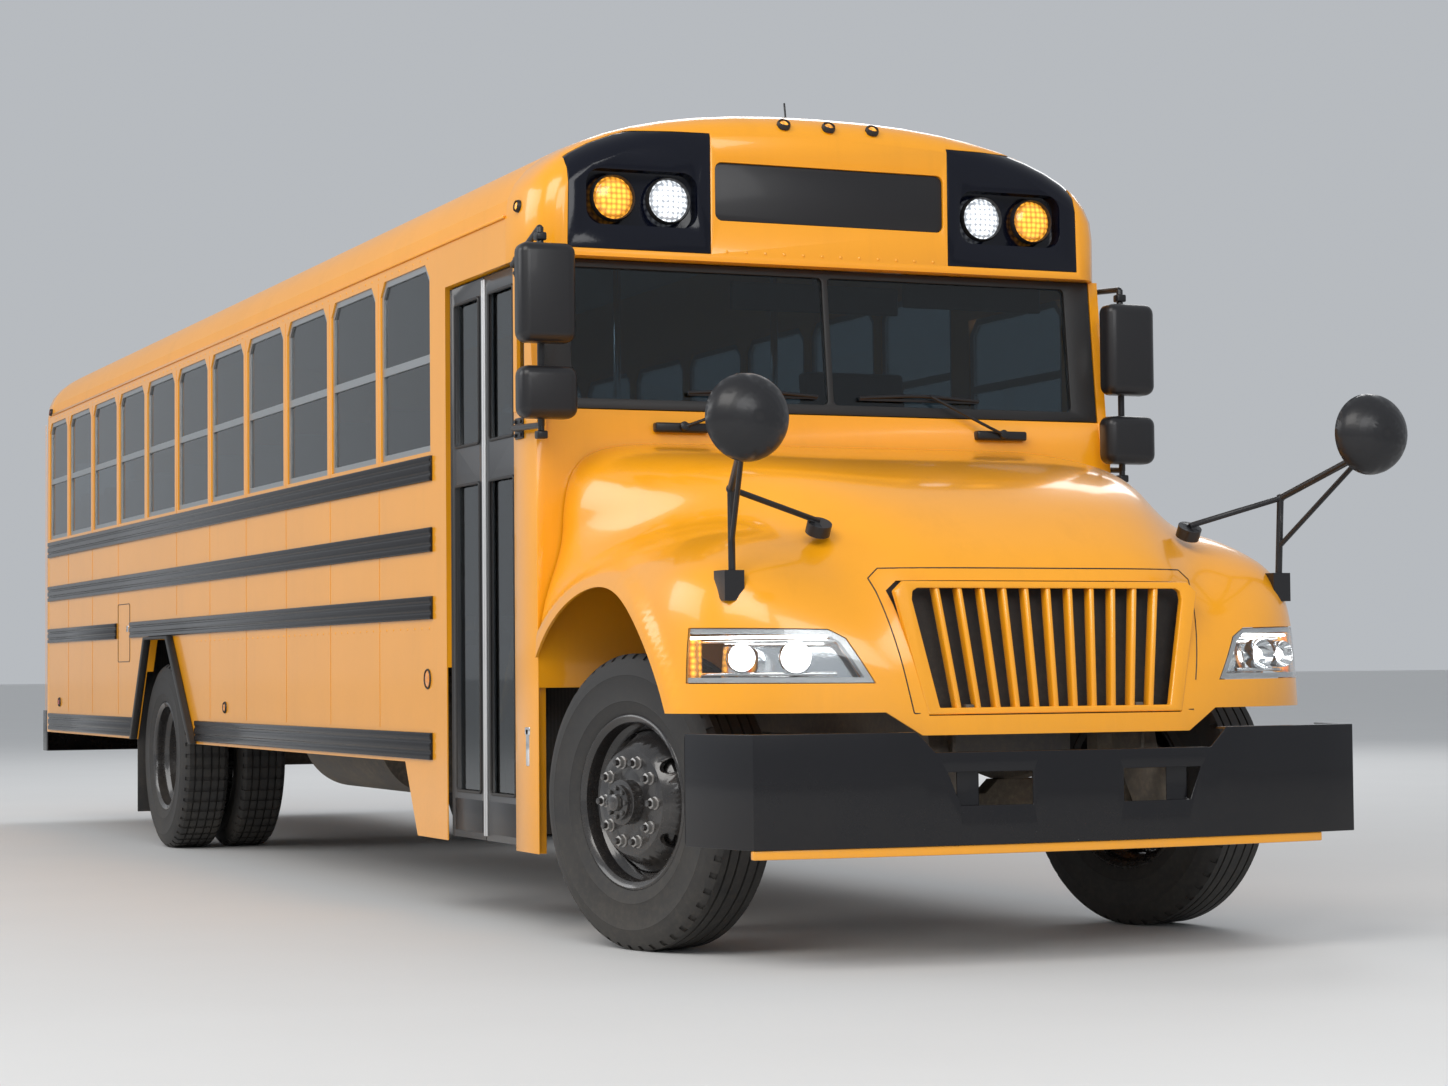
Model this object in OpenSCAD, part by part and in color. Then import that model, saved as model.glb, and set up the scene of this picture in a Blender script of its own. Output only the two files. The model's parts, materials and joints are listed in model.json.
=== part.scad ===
/* [Overall] */
// Width over the body skins
body_w = 2438; // [2300:1:2600]
// Distance between the axles
wheelbase = 7000; // [6200:10:8400]
// Front axle back to the body's front wall
dash_setback = 640; // [600:1:680]
// Rear axle back to the foot of the rear wall
rear_overhang = 3449; // [3000:1:3800]
// Ground to the roof's crown
roof_h = 3125; // [3080:1:3300]
// Ground to the top of the side walls
wall_top = 2690; // [2670:1:2760]
// Ground to the bottom of the floor
floor_z = 1000; // [980:1:1020]
// Thickness of the floor
floor_t = 80; // [60:1:100]
// Ground to the bottom of the body skirts
skirt_z = 600; // [560:1:640]
// Ground to the foot of the body beside the entrance
foot_z = 300; // [280:1:330]

/* [Walls and windows] */
// Thickness of walls and roof
wall_t = 40; // [30:1:50]
// Thickness of the skirt sheet
skirt_t = 5; // [4:0.5:10]
// Distance from one side pillar to the next
pitch = 775; // [700:1:775]
// Side windows behind the entrance
bays = 11; // [8:1:11]
// Width of a side pillar
pillar_w = 76; // [60:1:110]
// Ground to the sill of the side windows
sill_z = 1873; // [1800:1:1900]
// Ground to the top of the side windows
head_z = 2646; // [2600:1:2660]
// Thickness of a window frame
sash_t = 24; // [15:1:30]
// Width of a window frame's bars
sash_w = 26; // [20:1:35]
// Thickness of the glass
glass_t = 6; // [5:0.5:8]
// How much the rear wall leans forward at the top
rear_lean = 144; // [100:1:180]
// Radius between roof and rear wall
rear_r = 150; // [100:1:180]
// Power of the curve that the roof follows
roof_power = 2.3; // [2.1:0.05:2.6]

/* [Entrance] */
// Front axle to the front edge of the entrance
door_front = 870; // [860:1:900]
// Width of the entrance
door_w = 830; // [760:1:860]
// Ground to the top of the entrance
door_top = 2520; // [2480:1:2560]
// Thickness of a door leaf
leaf_t = 40; // [34:1:44]
// How far the leaves sit in from the skin
leaf_inset = 24; // [15:1:30]
// Running gap around doors
door_gap = 10; // [10:0.5:14]
// Width of a leaf's stiles
stile_w = 55; // [45:1:70]
// Width of the pillar behind the entrance
pillar_b = 166; // [140:1:190]
// Risers between the lowest tread and the floor
risers = 3; // [3:1:3]
// Thickness of the step plates
step_t = 20; // [12:1:25]

/* [Wheels] */
// Radius of the tyres
tyre_r = 515; // [490:1:530]
// Width of the tyres
tyre_w = 270; // [240:1:290]
// Radius of the rim's edge
rim_r = 305; // [300:1:310]
// Half width of the rim
rim_half = 117; // [105:1:120]
// Middle of the front tyres from the centre line
front_track = 1015; // [990:1:1030]
// Middle of the outer rear tyres from the centre line
rear_track = 1055; // [1040:1:1065]
// Distance between the twin tyres
twin_gap = 320; // [315:1:330]
// Circle of the wheel studs, as a diameter
stud_circle = 285.75; // [285.75:0.01:285.75]
// Radius of a wheel stud
stud_r = 11; // [9:0.5:12]
// Number of wheel studs
studs = 10; // [8:1:10]
// Radius of a hub
hub_r = 108; // [100:1:112]
// Radius of the front spindles
spindle_r = 40; // [35:1:45]
// Running gap of shafts in their bores
run_gap = 0.05; // [0.02:0.01:0.1]
// Kingpins from the centre line
kingpin_y = 870; // [850:1:880]
// Radius of a kingpin
kingpin_r = 18; // [15:1:22]
// How far the parked front wheels are turned to the left, in degrees
parked_turn = 15; // [0:1:20]

/* [Chassis] */
// Outer face of the frame rails from the centre line
rail_y = 432; // [420:1:440]
// Height of a frame rail
rail_h = 260; // [240:1:260]
// Width of a rail's flanges
rail_flange = 80; // [70:1:90]
// Thickness of a rail's web
rail_web = 8; // [7:0.5:10]
// Half length of a leaf spring
spring_half = 690; // [600:5:720]
// Width of a leaf spring
spring_w = 76; // [60:1:80]
// Thickness of a spring at its middle
spring_t = 80; // [60:1:90]
// Radius of the rear axle's tube
axle_r = 65; // [55:1:70]

/* [Bumpers] */
// Front axle to the middle of the front bumper
bumper_x = 1216; // [1200:1:1260]
// Ground to the bottom of the front bumper
bumper_z = 400; // [390:1:420]
// Height of the front bumper
bumper_h = 365; // [350:1:375]
// How far the front bumper's corners sweep back
bumper_sweep = 81; // [60:1:100]
// Corner of the front bumper from the centre line
bumper_corner = 1127; // [1100:1:1140]
// Thickness of the bumper plate
bumper_t = 8; // [6:0.5:10]
// Height of the strip below the front bumper
strip_h = 30; // [20:1:35]
// Depth of the rear bumper
rear_bumper_d = 150; // [120:1:180]

/* [Hood] */
// Ground to the crown of the hood at its back
hood_top = 1820; // [1790:1:1830]
// Ground to the crown of the hood above the grille
hood_nose = 1279; // [1260:1:1300]
// Front axle to the foot of the grille
nose_x = 1092; // [1080:1:1100]
// Thickness of the hood's shell
hood_t = 10; // [8:1:14]
// Radius of the front wheel arches
arch_r = 735; // [700:1:745]
// Front axle to the hood's hinge
hinge_x = 1045; // [1040:1:1050]
// Ground to the hood's hinge
hinge_z = 775; // [770:1:780]
// Slots in the grille
slots = 12; // [8:1:14]

/* [Hidden] */
$fn = 48;
fit = 0.3;                                  // gap between pieces that only rest side by side
half_w = body_w / 2;
tail = wheelbase + rear_overhang;           // front axle to the foot of the rear wall
bowl_x = 1200;                              // round mirrors ahead of the front axle
bowl_r = 140;
bowl_d = 110;                               // depth of their front shells
front_reach = bowl_x + bowl_d;
axle_x = (tail + rear_bumper_d - front_reach) / 2;
floor_top = floor_z + floor_t;
rail_z = floor_z - rail_h;
rail_front = 980;
rail_back = -(tail - 220);
door_back = door_front + door_w;
windows_x = -(door_back + pillar_b);        // front end of the side windows
wall_back = -(tail - rear_lean - 35);       // where the side walls meet the rear wall
roof_back = -(tail - rear_lean - rear_r);
cap_x = -950;                               // joint between roof and front cap
cap_z = door_top;                           // lower edge of the front cap
glass_x = -706;                             // windshield at its top
glass_foot = -644;                          // windshield at its foot
glass_z = 1946;                             // foot of the windshield
arch_top = 1170;                            // flat top of the rear wheel arches
arch_x = -wheelbase + 130;                  // middle of the rear wheel arches
leaf_y = half_w - leaf_inset;               // outer face of the door leaves
leaf_w = (door_w - 3 * door_gap) / 2;
leaf_z = foot_z + 18;
barrel_r = door_gap / 2 - fit;              // hinge barrels stand in the middle of the door gap
step_rise = (floor_top - 360) / risers;
seat_rows = 11;
seat_pitch = 720;
seat_front = 2450;
sign_w = 974;
stop_w = 450;
stop_x = -2050;                             // hinge of the stop arm
stop_z = 1662;
stop_out = 34;                              // stop arm's distance from the wall
rear_hub_y = rear_track - twin_gap / 2;

// x is counted from the front axle inside the modules, with + towards the front
module from_axle() translate([axle_x, 0, 0]) children();
module both_sides() { children(); mirror([0, 1, 0]) children(); }
module block(x, y, z) translate([x[0], y[0], z[0]]) cube([x[1] - x[0], y[1] - y[0], z[1] - z[0]]);
module along_x(x) translate([x[0], 0, 0]) rotate([90, 0, 90]) linear_extrude(x[1] - x[0]) children();
module along_y(y) translate([0, y[1], 0]) rotate([90, 0, 0]) linear_extrude(y[1] - y[0]) children();
module rod(a, b, r) {
    d = b - a;
    translate(a) rotate([0, acos(d[2] / norm(d)), atan2(d[1], d[0])]) cylinder(h = norm(d), r = r);
}
module clipped(w, h, c) polygon([[0, 0], [w, 0], [w, h - c], [w - c, h], [c, h], [0, h - c]]);

// ---- body section: straight sides under a curved roof ----
function roof_at(y, inset) = wall_top + (roof_h - inset - wall_top)
    * pow(max(0, 1 - pow(abs(y) / (half_w - inset), roof_power)), 1 / roof_power);
function roof_line(inset, n = 24) = [for (i = [0:n]) let (a = 180 * i / n, c = cos(a),
    y = (half_w - inset) * sign(c) * pow(abs(c), 2 / roof_power)) [y, roof_at(y, inset)]];
module section(inset, bottom) polygon(concat([[-(half_w - inset), bottom], [half_w - inset, bottom]],
    roof_line(inset)));

// ---- chassis ----
module chassis_frame() color("#1c1c1e") from_axle() {
    rail_in = rail_y - rail_flange;
    both_sides() {
        difference() {
            block([rail_back, rail_front], [rail_in, rail_y], [rail_z, floor_z]);
            block([rail_back - 1, rail_front + 1], [rail_in - 1, rail_y - rail_web],
                [rail_z + rail_web, floor_z - rail_web]);
        }
        // front bumper bracket and hood hinge plate with its pin
        along_y([rail_in, rail_y]) polygon([[rail_front - 150, rail_z + 10], [rail_front, rail_z + 10],
            [rail_front + 20, 680], [bumper_x - 40, 680], [bumper_x - 40, 460], [rail_front + 20, 460],
            [rail_front - 150, rail_z - 40]]);
        along_y([rail_in, rail_in + 12]) translate([hinge_x, hinge_z]) polygon([[-70, 660 - hinge_z],
            [-25, 660 - hinge_z], [-20, -30], [25, -12], [25, 25], [-25, 25], [-70, -20]]);
        translate([hinge_x, rail_in + 6, hinge_z]) rotate([90, 0, 0]) cylinder(h = 62, r = 12);
        // rear bumper bracket
        block([-tail - rear_bumper_d + bumper_t + fit, rail_back + 80], [rail_in, rail_y], [500, skirt_z - 10]);
        block([rail_back, rail_back + 80], [rail_in, rail_y], [skirt_z - 20, rail_z + 10]);
        // spring hangers
        for (x = [-spring_half, spring_half], axle = [0, -wheelbase])
            block([axle + x - 35, axle + x + 35], [rail_y - spring_w, rail_y], [spring_end_z(axle), rail_z + 4]);
    }
    for (x = [rail_front - 150, -820, -1900, -3000, -4500, -5900, -8200, -9600])
        block([x - 35, x + 35], [-rail_y + 4, rail_y - 4], [rail_z + 40, rail_z + 200]);
}
// top of a spring's eye below the rail
function spring_end_z(axle) = spring_seat(axle) + spring_t + 30;
function spring_seat(axle) = axle == 0 ? 560 : tyre_r + axle_r;

module leaf_springs() color("#2a2a2c") from_axle() both_sides() for (axle = [0, -wheelbase])
    translate([axle, 0, spring_seat(axle)]) along_y([rail_y - spring_w, rail_y]) polygon(concat(
        [for (i = [-10:10]) [spring_half / 10 * i, spring_t + 30 * i * i / 100 - fit]],
        [[spring_half, spring_t + 16], [60, 0], [-60, 0], [-spring_half, spring_t + 16]]));

module front_axle() color("#232325") from_axle() difference() {
    union() {
        along_x([-45, 45]) polygon([[-kingpin_y, 465], [-kingpin_y, 560], [-720, 560], [-600, 520],
            [-560, 560], [-rail_y + 100, 560], [-280, 510], [280, 510], [rail_y - 100, 560], [560, 560],
            [600, 520], [720, 560], [kingpin_y, 560], [kingpin_y, 465], [700, 465], [560, 410],
            [-560, 410], [-700, 465]]);
        both_sides() translate([0, kingpin_y, 465]) cylinder(h = 95, r = 45);
    }
    both_sides() translate([0, kingpin_y, 400]) cylinder(h = 200, r = kingpin_r + run_gap);
}

module rear_axle() color("#232325") from_axle() translate([-wheelbase, 0, tyre_r]) difference() {
    union() {
        rotate([90, 0, 0]) cylinder(h = 2 * (rear_hub_y - 265), r = axle_r, center = true);
        rotate([90, 0, 0]) cylinder(h = 2 * (rear_hub_y + 60), r = 50, center = true);
        sphere(r = 180);
        rotate([0, 90, 0]) cylinder(h = 330, r = 75);
        both_sides() block([-60, 60], [rail_y - spring_w, rail_y], [0, axle_r - fit]);
    }
    translate([300, 0, 0]) rotate([0, 90, 0]) cylinder(h = 40, r = 30);
}

module drive_shaft() color("#2c2c2e") from_axle() {
    joint = -wheelbase + 368;
    mid = [-3600, 0, rail_z - 50];
    rod([-760 - fit, 0, rail_z - 40], mid, 45);
    rod(mid, [joint, 0, tyre_r], 45);
    rod([joint, 0, tyre_r], [joint - 68 + fit, 0, tyre_r], 29);
    translate(mid) sphere(r = 60);
    translate([joint, 0, tyre_r]) sphere(r = 47);
    block([mid[0] - 15, mid[0] + 15], [-40, 40], [rail_z - 10, rail_z + 60]);
    block([mid[0] - 40, mid[0] + 40], [-rail_y + rail_web, rail_y - rail_web], [rail_z + 55, rail_z + 70]);
}

module engine_block() color("#3a3b3d") from_axle() {
    block([-560, 640], [-300, 300], [620, 1400]);
    block([-760, -560], [-220, 220], [640, 1000 - 20]);
    for (x = [-400, 420]) block([x - 50, x + 50], [-rail_y + 5, rail_y - 5], [floor_z, floor_z + 40]);
}

module radiator() color("#17181a") from_axle()
    block([rail_front - 185, rail_front - 115], [-rail_y + rail_flange + 2, rail_y - rail_flange - 2],
        [rail_z + 200, 1270]);

module fuel_tank() color("#1d1e20") from_axle() {
    translate([-4450, -800, 690]) rotate([0, 90, 0]) cylinder(h = 1300, r = 270);
    for (x = [-4200, -3500]) block([x - 30, x + 30], [-800, -rail_y], [900, 960]);
}

module exhaust_pipe() color("#5a5650") from_axle() {
    rod([-900, 300, 600], [-2900, 300, 600], 50);
    rod([-2900, 300, 600], [-4100, 300, 600], 120);
    rod([-4100, 300, 600], [-5800, 300, 600], 50);
    translate([-5800, 300, 600]) sphere(r = 50);
    rod([-5800, 300, 600], [-5850, half_w - 30, 560], 50);
    for (x = [-1200, -3500, -5700]) {
        block([x - 15, x + 15], [285, 315], [640, rail_z + 45]);
        block([x - 15, x + 15], [285, rail_y - rail_web], [rail_z + 40, rail_z + 60]);
    }
}

module front_bumper() color("#141416") from_axle() difference() {
    union() {
        translate([0, 0, bumper_z]) linear_extrude(bumper_h) bumper_plan(bumper_t);
        for (z = [bumper_z, bumper_z + bumper_h - bumper_t])
            translate([0, 0, z]) linear_extrude(bumper_t) bumper_plan(60);
        translate([0, 0, bumper_z + bumper_h - 66 - bumper_t]) linear_extrude(bumper_t) intersection() {
            bumper_plan(60);
            translate([0, -516]) square([2000, 1032]);
        }
        both_sides() block([bumper_x - 40, bumper_front(rail_y) - 1], [rail_y - rail_flange, rail_y], [460, 680]);
    }
    // middle of the top edge dips under the hood's chin
    top = bumper_z + bumper_h;
    along_x([900, 1300]) polygon([[-582, top + 1], [-516, top - 66], [516, top - 66], [582, top + 1]]);
    both_sides() along_x([900, 1300]) polygon([[170, 635], [340, 635], [340, 527], [170, 527]]);
    both_sides() along_x([1180, 1300]) polygon([[339, 635], [474, 635], [430, 527], [339, 527]]);
}
function bumper_front(y) = bumper_x - bumper_sweep * pow(y / bumper_corner, 2);
function bumper_edge(back) = concat([[790, -half_w + back * 0.25]],
    [for (i = [-8:8]) let (y = bumper_corner * i / 8) [bumper_front(y) - back, y * (1 - back / 4000)]],
    [[790, half_w - back * 0.25]]);
module bumper_plan(depth) difference() {
    polygon(bumper_edge(0));
    polygon(concat([[700, -half_w + depth]], bumper_edge(depth), [[700, half_w - depth]]));
}
module bumper_strip() color("#f2a320") from_axle() translate([0, 0, bumper_z - strip_h])
    linear_extrude(strip_h) polygon(concat(
        [for (i = [-8:7]) let (y = bumper_corner * i / 8) [bumper_front(y) - 6, y]],
        [for (i = [7:-1:-8]) let (y = bumper_corner * i / 8) [bumper_front(y) - 30, y]]));

module rear_bumper() color("#141416") from_axle() difference() {
    block([-tail - rear_bumper_d, -tail], [-half_w + 20, half_w - 20], [470, 740]);
    block([-tail - rear_bumper_d + bumper_t, -tail + 1], [-half_w + 28, half_w - 28], [478, 732]);
    for (s = [-1, 1], h = [-1, 1]) translate([-tail - rear_bumper_d - 1, s * 300, 600 + h * 60])
        rotate([0, 90, 0]) cylinder(h = 40, r = 9);
}

// ---- wheels: profiles stand upright, height 0 in the tyre's middle plane, + away from the bus ----
module at_wheel(x, y, turn = 0) translate([x, y, tyre_r]) rotate([0, 0, turn])
    rotate([y > 0 ? -90 : 90, 0, 0]) children();
module parked(side) translate([axle_x, side * kingpin_y, 0]) rotate([0, 0, parked_turn])
    translate([0, -side * kingpin_y, 0]) children();
module tyre() {
    w = tyre_w / 2;
    rotate_extrude() polygon([[285, -97], [301.5, -107], [306.5, -117], [345, -w + 6], [400, -w], [465, -w + 5],
        [tyre_r - 18, -w + 18], [tyre_r, -w + 38], [tyre_r, w - 38], [tyre_r - 18, w - 18], [465, w - 5],
        [400, w], [345, w - 6], [306.5, 117], [301.5, 107], [285, 97], [285, 86], [330, 88], [400, w - 16],
        [tyre_r - 30, w - 45], [tyre_r - 30, 45 - w], [400, 16 - w], [330, -88], [285, -86]]);
}
module rim() rotate_extrude() polygon([[284.5, -100], [rim_r - 6, -rim_half + 8], [rim_r, -rim_half],
    [rim_r - 8, -rim_half - 4], [277, -108], [274, -60], [250, -40], [250, 40], [274, 60], [277, 108],
    [rim_r - 8, rim_half + 4], [rim_r, rim_half], [rim_r - 6, rim_half - 8], [284.5, 100], [284.5, 58],
    [260, 36], [260, -36], [284.5, -58]]);
// disc from the rim's well out to the mounting plate at height plate
module disc(plate) {
    turn = plate > 0 ? 1 : -1;
    p = abs(plate);
    mirror([0, 0, turn > 0 ? 0 : 1]) difference() {
        rotate_extrude() polygon([[252, 30], [256, 20], [256, 2], [246, 2], [232, 40], [196, p - 22],
            [180, p - 8], [60, p - 8], [60, p + 6], [184, p + 6], [204, p - 12], [240, 48]]);
        for (i = [0:4]) rotate([0, 0, 72 * i + 36]) translate([221, 0, 0]) cylinder(h = p, r = 27);
    }
}
module stud_ring(from, to) for (i = [0:studs - 1]) rotate([0, 0, 360 / studs * i])
    translate([stud_circle / 2, 0, from]) cylinder(h = to - from, r = stud_r);
module front_wheel() difference() {
    union() {
        rim();
        disc(112);
        stud_ring(104, 156);
        translate([0, 0, -70]) cylinder(h = 180, r = hub_r);
        translate([0, 0, 100]) cylinder(h = 62, r = 78);
        translate([0, 0, 160]) cylinder(h = 18, r = 62);
        rotate_extrude() polygon([[100, 84], [170, 84], [205, 60], [205, -60], [195, -60], [195, 50],
            [165, 70], [100, 70]]);
    }
    translate([0, 0, -71]) cylinder(h = 171, r = spindle_r + run_gap);
}
module rear_wheels() {
    mid = -twin_gap / 2;
    difference() {
        union() {
            rim();
            disc(mid + 7);
            translate([0, 0, -twin_gap]) { rim(); mirror([0, 0, 1]) disc(mid + 7); }
            stud_ring(mid - 10, mid + 50);
            translate([0, 0, mid - 95]) cylinder(h = 205, r = hub_r);
            translate([0, 0, mid + 105]) cylinder(h = 12, r = 125);
            translate([0, 0, mid + 110]) cylinder(h = 40, r = 62);
            translate([0, 0, mid]) rotate_extrude() polygon([[100, -14], [170, -14], [205, -40], [205, -240],
                [195, -240], [195, -48], [165, -26], [100, -26]]);
        }
        translate([0, 0, mid - 96]) cylinder(h = 160, r = 50 + run_gap);
    }
}
module front_left_wheel() color("#101012") parked(1) at_wheel(0, front_track) front_wheel();
module front_right_wheel() color("#101012") parked(-1) at_wheel(0, -front_track) front_wheel();
module front_left_tyre() color("#222224") parked(1) at_wheel(0, front_track) tyre();
module front_right_tyre() color("#222224") parked(-1) at_wheel(0, -front_track) tyre();
module rear_left_wheels() color("#101012") from_axle() at_wheel(-wheelbase, rear_track) rear_wheels();
module rear_right_wheels() color("#101012") from_axle() at_wheel(-wheelbase, -rear_track) rear_wheels();
module twin_tyres() { tyre(); translate([0, 0, -twin_gap]) tyre(); }
module rear_left_tyres() color("#222224") from_axle() at_wheel(-wheelbase, rear_track) twin_tyres();
module rear_right_tyres() color("#222224") from_axle() at_wheel(-wheelbase, -rear_track) twin_tyres();

// fork round the axle's end, kingpin, spindle and steering arm
module knuckle(side) parked(side) {
    translate([0, side * kingpin_y, 0]) {
        translate([0, 0, 420]) cylinder(h = 190, r = kingpin_r);
        for (z = [425, 566]) translate([0, 0, z]) cylinder(h = 34, r = 44);
    }
    y = [kingpin_y + 47, front_track - 72];
    block([-44, 44], side > 0 ? y : [-y[1], -y[0]], [425, 600]);
    for (z = [425, 566]) block([-38, 38],
        side > 0 ? [kingpin_y, y[0] + 5] : [-y[0] - 5, -kingpin_y], [z, z + 34]);
    at_wheel(0, side * (front_track - 80)) cylinder(h = 175, r = spindle_r);
    rod([0, side * kingpin_y, 440], [-180, side * (kingpin_y - 30), 440], 16);
}
module left_knuckle() color("#2b2b2d") knuckle(1);
module right_knuckle() color("#2b2b2d") knuckle(-1);

// ---- body ----
module floor() color("#4a4a4c") from_axle() {
    inner = half_w - wall_t;
    well = [-door_back, -door_front];
    difference() {
        block([-tail + wall_t + 35, -dash_setback - 30], [-inner, inner], [floor_z, floor_top]);
        block([well[0], well[1]], [-inner - 1, -480], [floor_z - 1, floor_top + 1]);
        both_sides() block([-wheelbase - 560, -wheelbase + 560], [560, inner + 1], [floor_z - 1, floor_top + 1]);
    }
    // boxes over the rear wheels
    both_sides() difference() {
        block([-wheelbase - 566, -wheelbase + 566], [554, inner], [floor_z, arch_top + 40]);
        block([-wheelbase - 560, -wheelbase + 560], [560, inner + 1], [floor_z - 1, arch_top + 34]);
    }
}

module step_well() color("#3a3a3c") from_axle() {
    y = [-leaf_y + leaf_t + 5, -950, -715, -480 - fit];
    z = [for (i = [0:risers]) 360 + step_rise * i];
    along_x([-door_back + 5, -door_front - 5]) polygon([[y[0], z[0]], [y[1], z[0]], [y[1], z[1]], [y[2], z[1]],
        [y[2], z[2]], [y[3], z[2]], [y[3], z[3]], [y[3] - step_t, z[3]], [y[3] - step_t, z[2] + step_t],
        [y[2] - step_t, z[2] + step_t], [y[2] - step_t, z[1] + step_t], [y[1] - step_t, z[1] + step_t],
        [y[1] - step_t, z[0] + step_t], [y[0], z[0] + step_t]]);
    for (x = [-door_back, -door_front - 5]) along_x([x, x + 5]) polygon([[y[0], z[0]],
        [y[1], z[0]], [y[2], z[1]], [y[3], z[2]], [y[3], floor_top], [y[0], floor_top]]);
}

// the cowl carries the windshield and closes the front below it
module cowl() color("#f2a320") from_axle() {
    front = -dash_setback + 24;
    difference() {
        along_y([-half_w, half_w]) polygon([[-dash_setback, floor_z - 90], [front, floor_z - 90], [front, 1800],
            [glass_foot + 6, glass_z], [glass_foot - 40, glass_z], [-dash_setback, 1780]]);
        block([-dash_setback - 1, front + 1], [-rail_y - 3, rail_y + 3], [floor_z - 100, floor_z + 3]);
    }
    for (s = [-1, 1]) mirror([0, s > 0 ? 0 : 1, 0]) difference() {
        block([-door_front, front], [half_w - wall_t, half_w],
            [s < 0 ? foot_z : skirt_z, glass_z]);
        block([-dash_setback, front + 1], [half_w - wall_t - 1, half_w - skirt_t], [foot_z - 1, floor_z - 90]);
    }
}

module window_bays() for (i = [0:bays - 1]) {
    x = windows_x - pitch * i - pillar_w / 2;
    w = i < bays - 1 ? pitch - pillar_w : min(pitch - pillar_w, x - wall_back - 15);
    translate([x - w, 0, 0]) children(i < bays - 1 ? 0 : 1);
}
last_w = min(pitch - pillar_w, windows_x - pitch * (bays - 1) - pillar_w / 2 - wall_back - 15);
win_w = pitch - pillar_w;
win_h = head_z - sill_z;
module window_cut(w) translate([0, 50, sill_z]) rotate([90, 0, 0]) linear_extrude(100) clipped(w, win_h, 60);

// wall on the +y side, flat outside, with its skirt below the floor; front is where its upper part ends
module side_wall(low_front) {
    back = wall_back;
    difference() {
        union() {
            block([back, cap_x], [half_w - wall_t, half_w], [floor_z - 10, wall_top]);
            along_y([half_w - wall_t, half_w]) polygon([[cap_x - 1, glass_z], [glass_foot, glass_z],
                [glass_x, cap_z], [cap_x - 1, cap_z]]);
            along_y([half_w - skirt_t, half_w]) polygon(low_front);
            block([cap_x - 1, -door_front], [half_w - wall_t, half_w], [floor_z - 10, cap_z]);
        }
        translate([0, half_w - wall_t / 2, 0]) window_bays() { window_cut(win_w); window_cut(last_w); }
        // rear wheel arch
        along_y([half_w - wall_t - 1, half_w + 1]) polygon([[arch_x - 660, skirt_z - 1], [arch_x - 300, arch_top],
            [arch_x + 230, arch_top], [arch_x + 790, skirt_z - 1]]);
        // quarter window
        block([-door_front + 40, glass_x - 40], [half_w - wall_t - 1, half_w + 1], [glass_z + 40, cap_z - 50]);
    }
}
module left_side_wall() color("#f2a320") from_axle() {
    difference() {
        side_wall([[wall_back, skirt_z], [-door_front, skirt_z], [-door_front, floor_z], [wall_back, floor_z]]);
        block([-door_back - 40, -door_front - 60], [half_w - wall_t - 1, half_w + 1], [sill_z, cap_z - 40]);
    }
    // ears that hold the stop arm's hinge
    for (z = [stop_z - 70 - fit - 18, stop_z + 70 + fit])
        block([stop_x - 14, stop_x + 14], [half_w - 1, half_w + stop_out + 12], [z, z + 18]);
}
module right_side_wall() color("#f2a320") from_axle() mirror([0, 1, 0]) difference() {
    side_wall([[wall_back, skirt_z], [-door_back - 570, skirt_z], [-door_back - 400, foot_z],
        [-door_back, foot_z], [-door_back, floor_z], [wall_back, floor_z]]);
    block([-door_back, -door_front], [half_w - wall_t - 1, half_w + 1], [foot_z - 1, door_top]);
}

module roof() color("#f2a320") from_axle() difference() {
    along_x([roof_back, cap_x]) section(0, wall_top);
    along_x([roof_back - 1, cap_x + 1]) section(wall_t, wall_top - 1);
}

module cap_form(grow = 0) hull() for (p = [[cap_x, 0], [-760, 8], [-690, 30], [-650, 65], [-633, 105]])
    along_x([p[0], p[0] + 1]) section(p[1] - grow, cap_z);
module lamp_outline(inset) hull() {
    for (p = [[505, 2548], [505, 3010]]) translate([p[0] + inset,
        p[1] + (p[1] < 2600 ? inset : -inset)]) square(1);
    translate([1085 - inset, 2548 + inset]) square(1);
    translate([940, 2870 - inset / 2]) circle(r = 140 - inset);
}
module front_cap() color("#f2a320") from_axle() difference() {
    cap_form();
    hull() {
        along_x([cap_x - 1, cap_x]) section(wall_t, cap_z - 1);
        along_x([-761, -760]) section(wall_t + 20, cap_z - 1);
    }
    both_sides() along_x([-715, -600]) lamp_outline(0);
    along_x([-655, -600]) sign_outline(0);
}
module sign_outline(inset) translate([0, 2790]) offset(30) square([sign_w - 60 - 2 * inset, 225 - 60 - 2 * inset],
    center = true);
module destination_sign() color("#101114") from_axle() along_x([-655 + fit, -640]) sign_outline(2);
module lamp_panels() color("#0e1016") from_axle() difference() {
    intersection() {
        cap_form(-2);
        both_sides() along_x([-715 + fit, -610]) lamp_outline(2);
    }
    both_sides() along_x([-695, -600]) translate([785, 2746]) offset(60) square([330, 90], center = true);
}
lamp_y = [669, 894];
module signal_lamps() color("#ffb020") from_axle() both_sides() {
    for (y = lamp_y) translate([-695 + fit, y, 2746]) rotate([0, 90, 0]) cylinder(h = 50, r = 88);
    // rear warning lamps and stop lamps follow the leaning rear wall
    for (p = [[900, 2760, 88], [690, 2760, 88], [1040, 1250, 80], [1040, 1060, 55]])
        translate([rear_x(p[1]) - fit, p[0], p[1]])
            rotate([0, atan2(rear_lean, roof_h - rear_r - skirt_z) - 90, 0]) cylinder(h = 35, r = p[2]);
}
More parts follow.
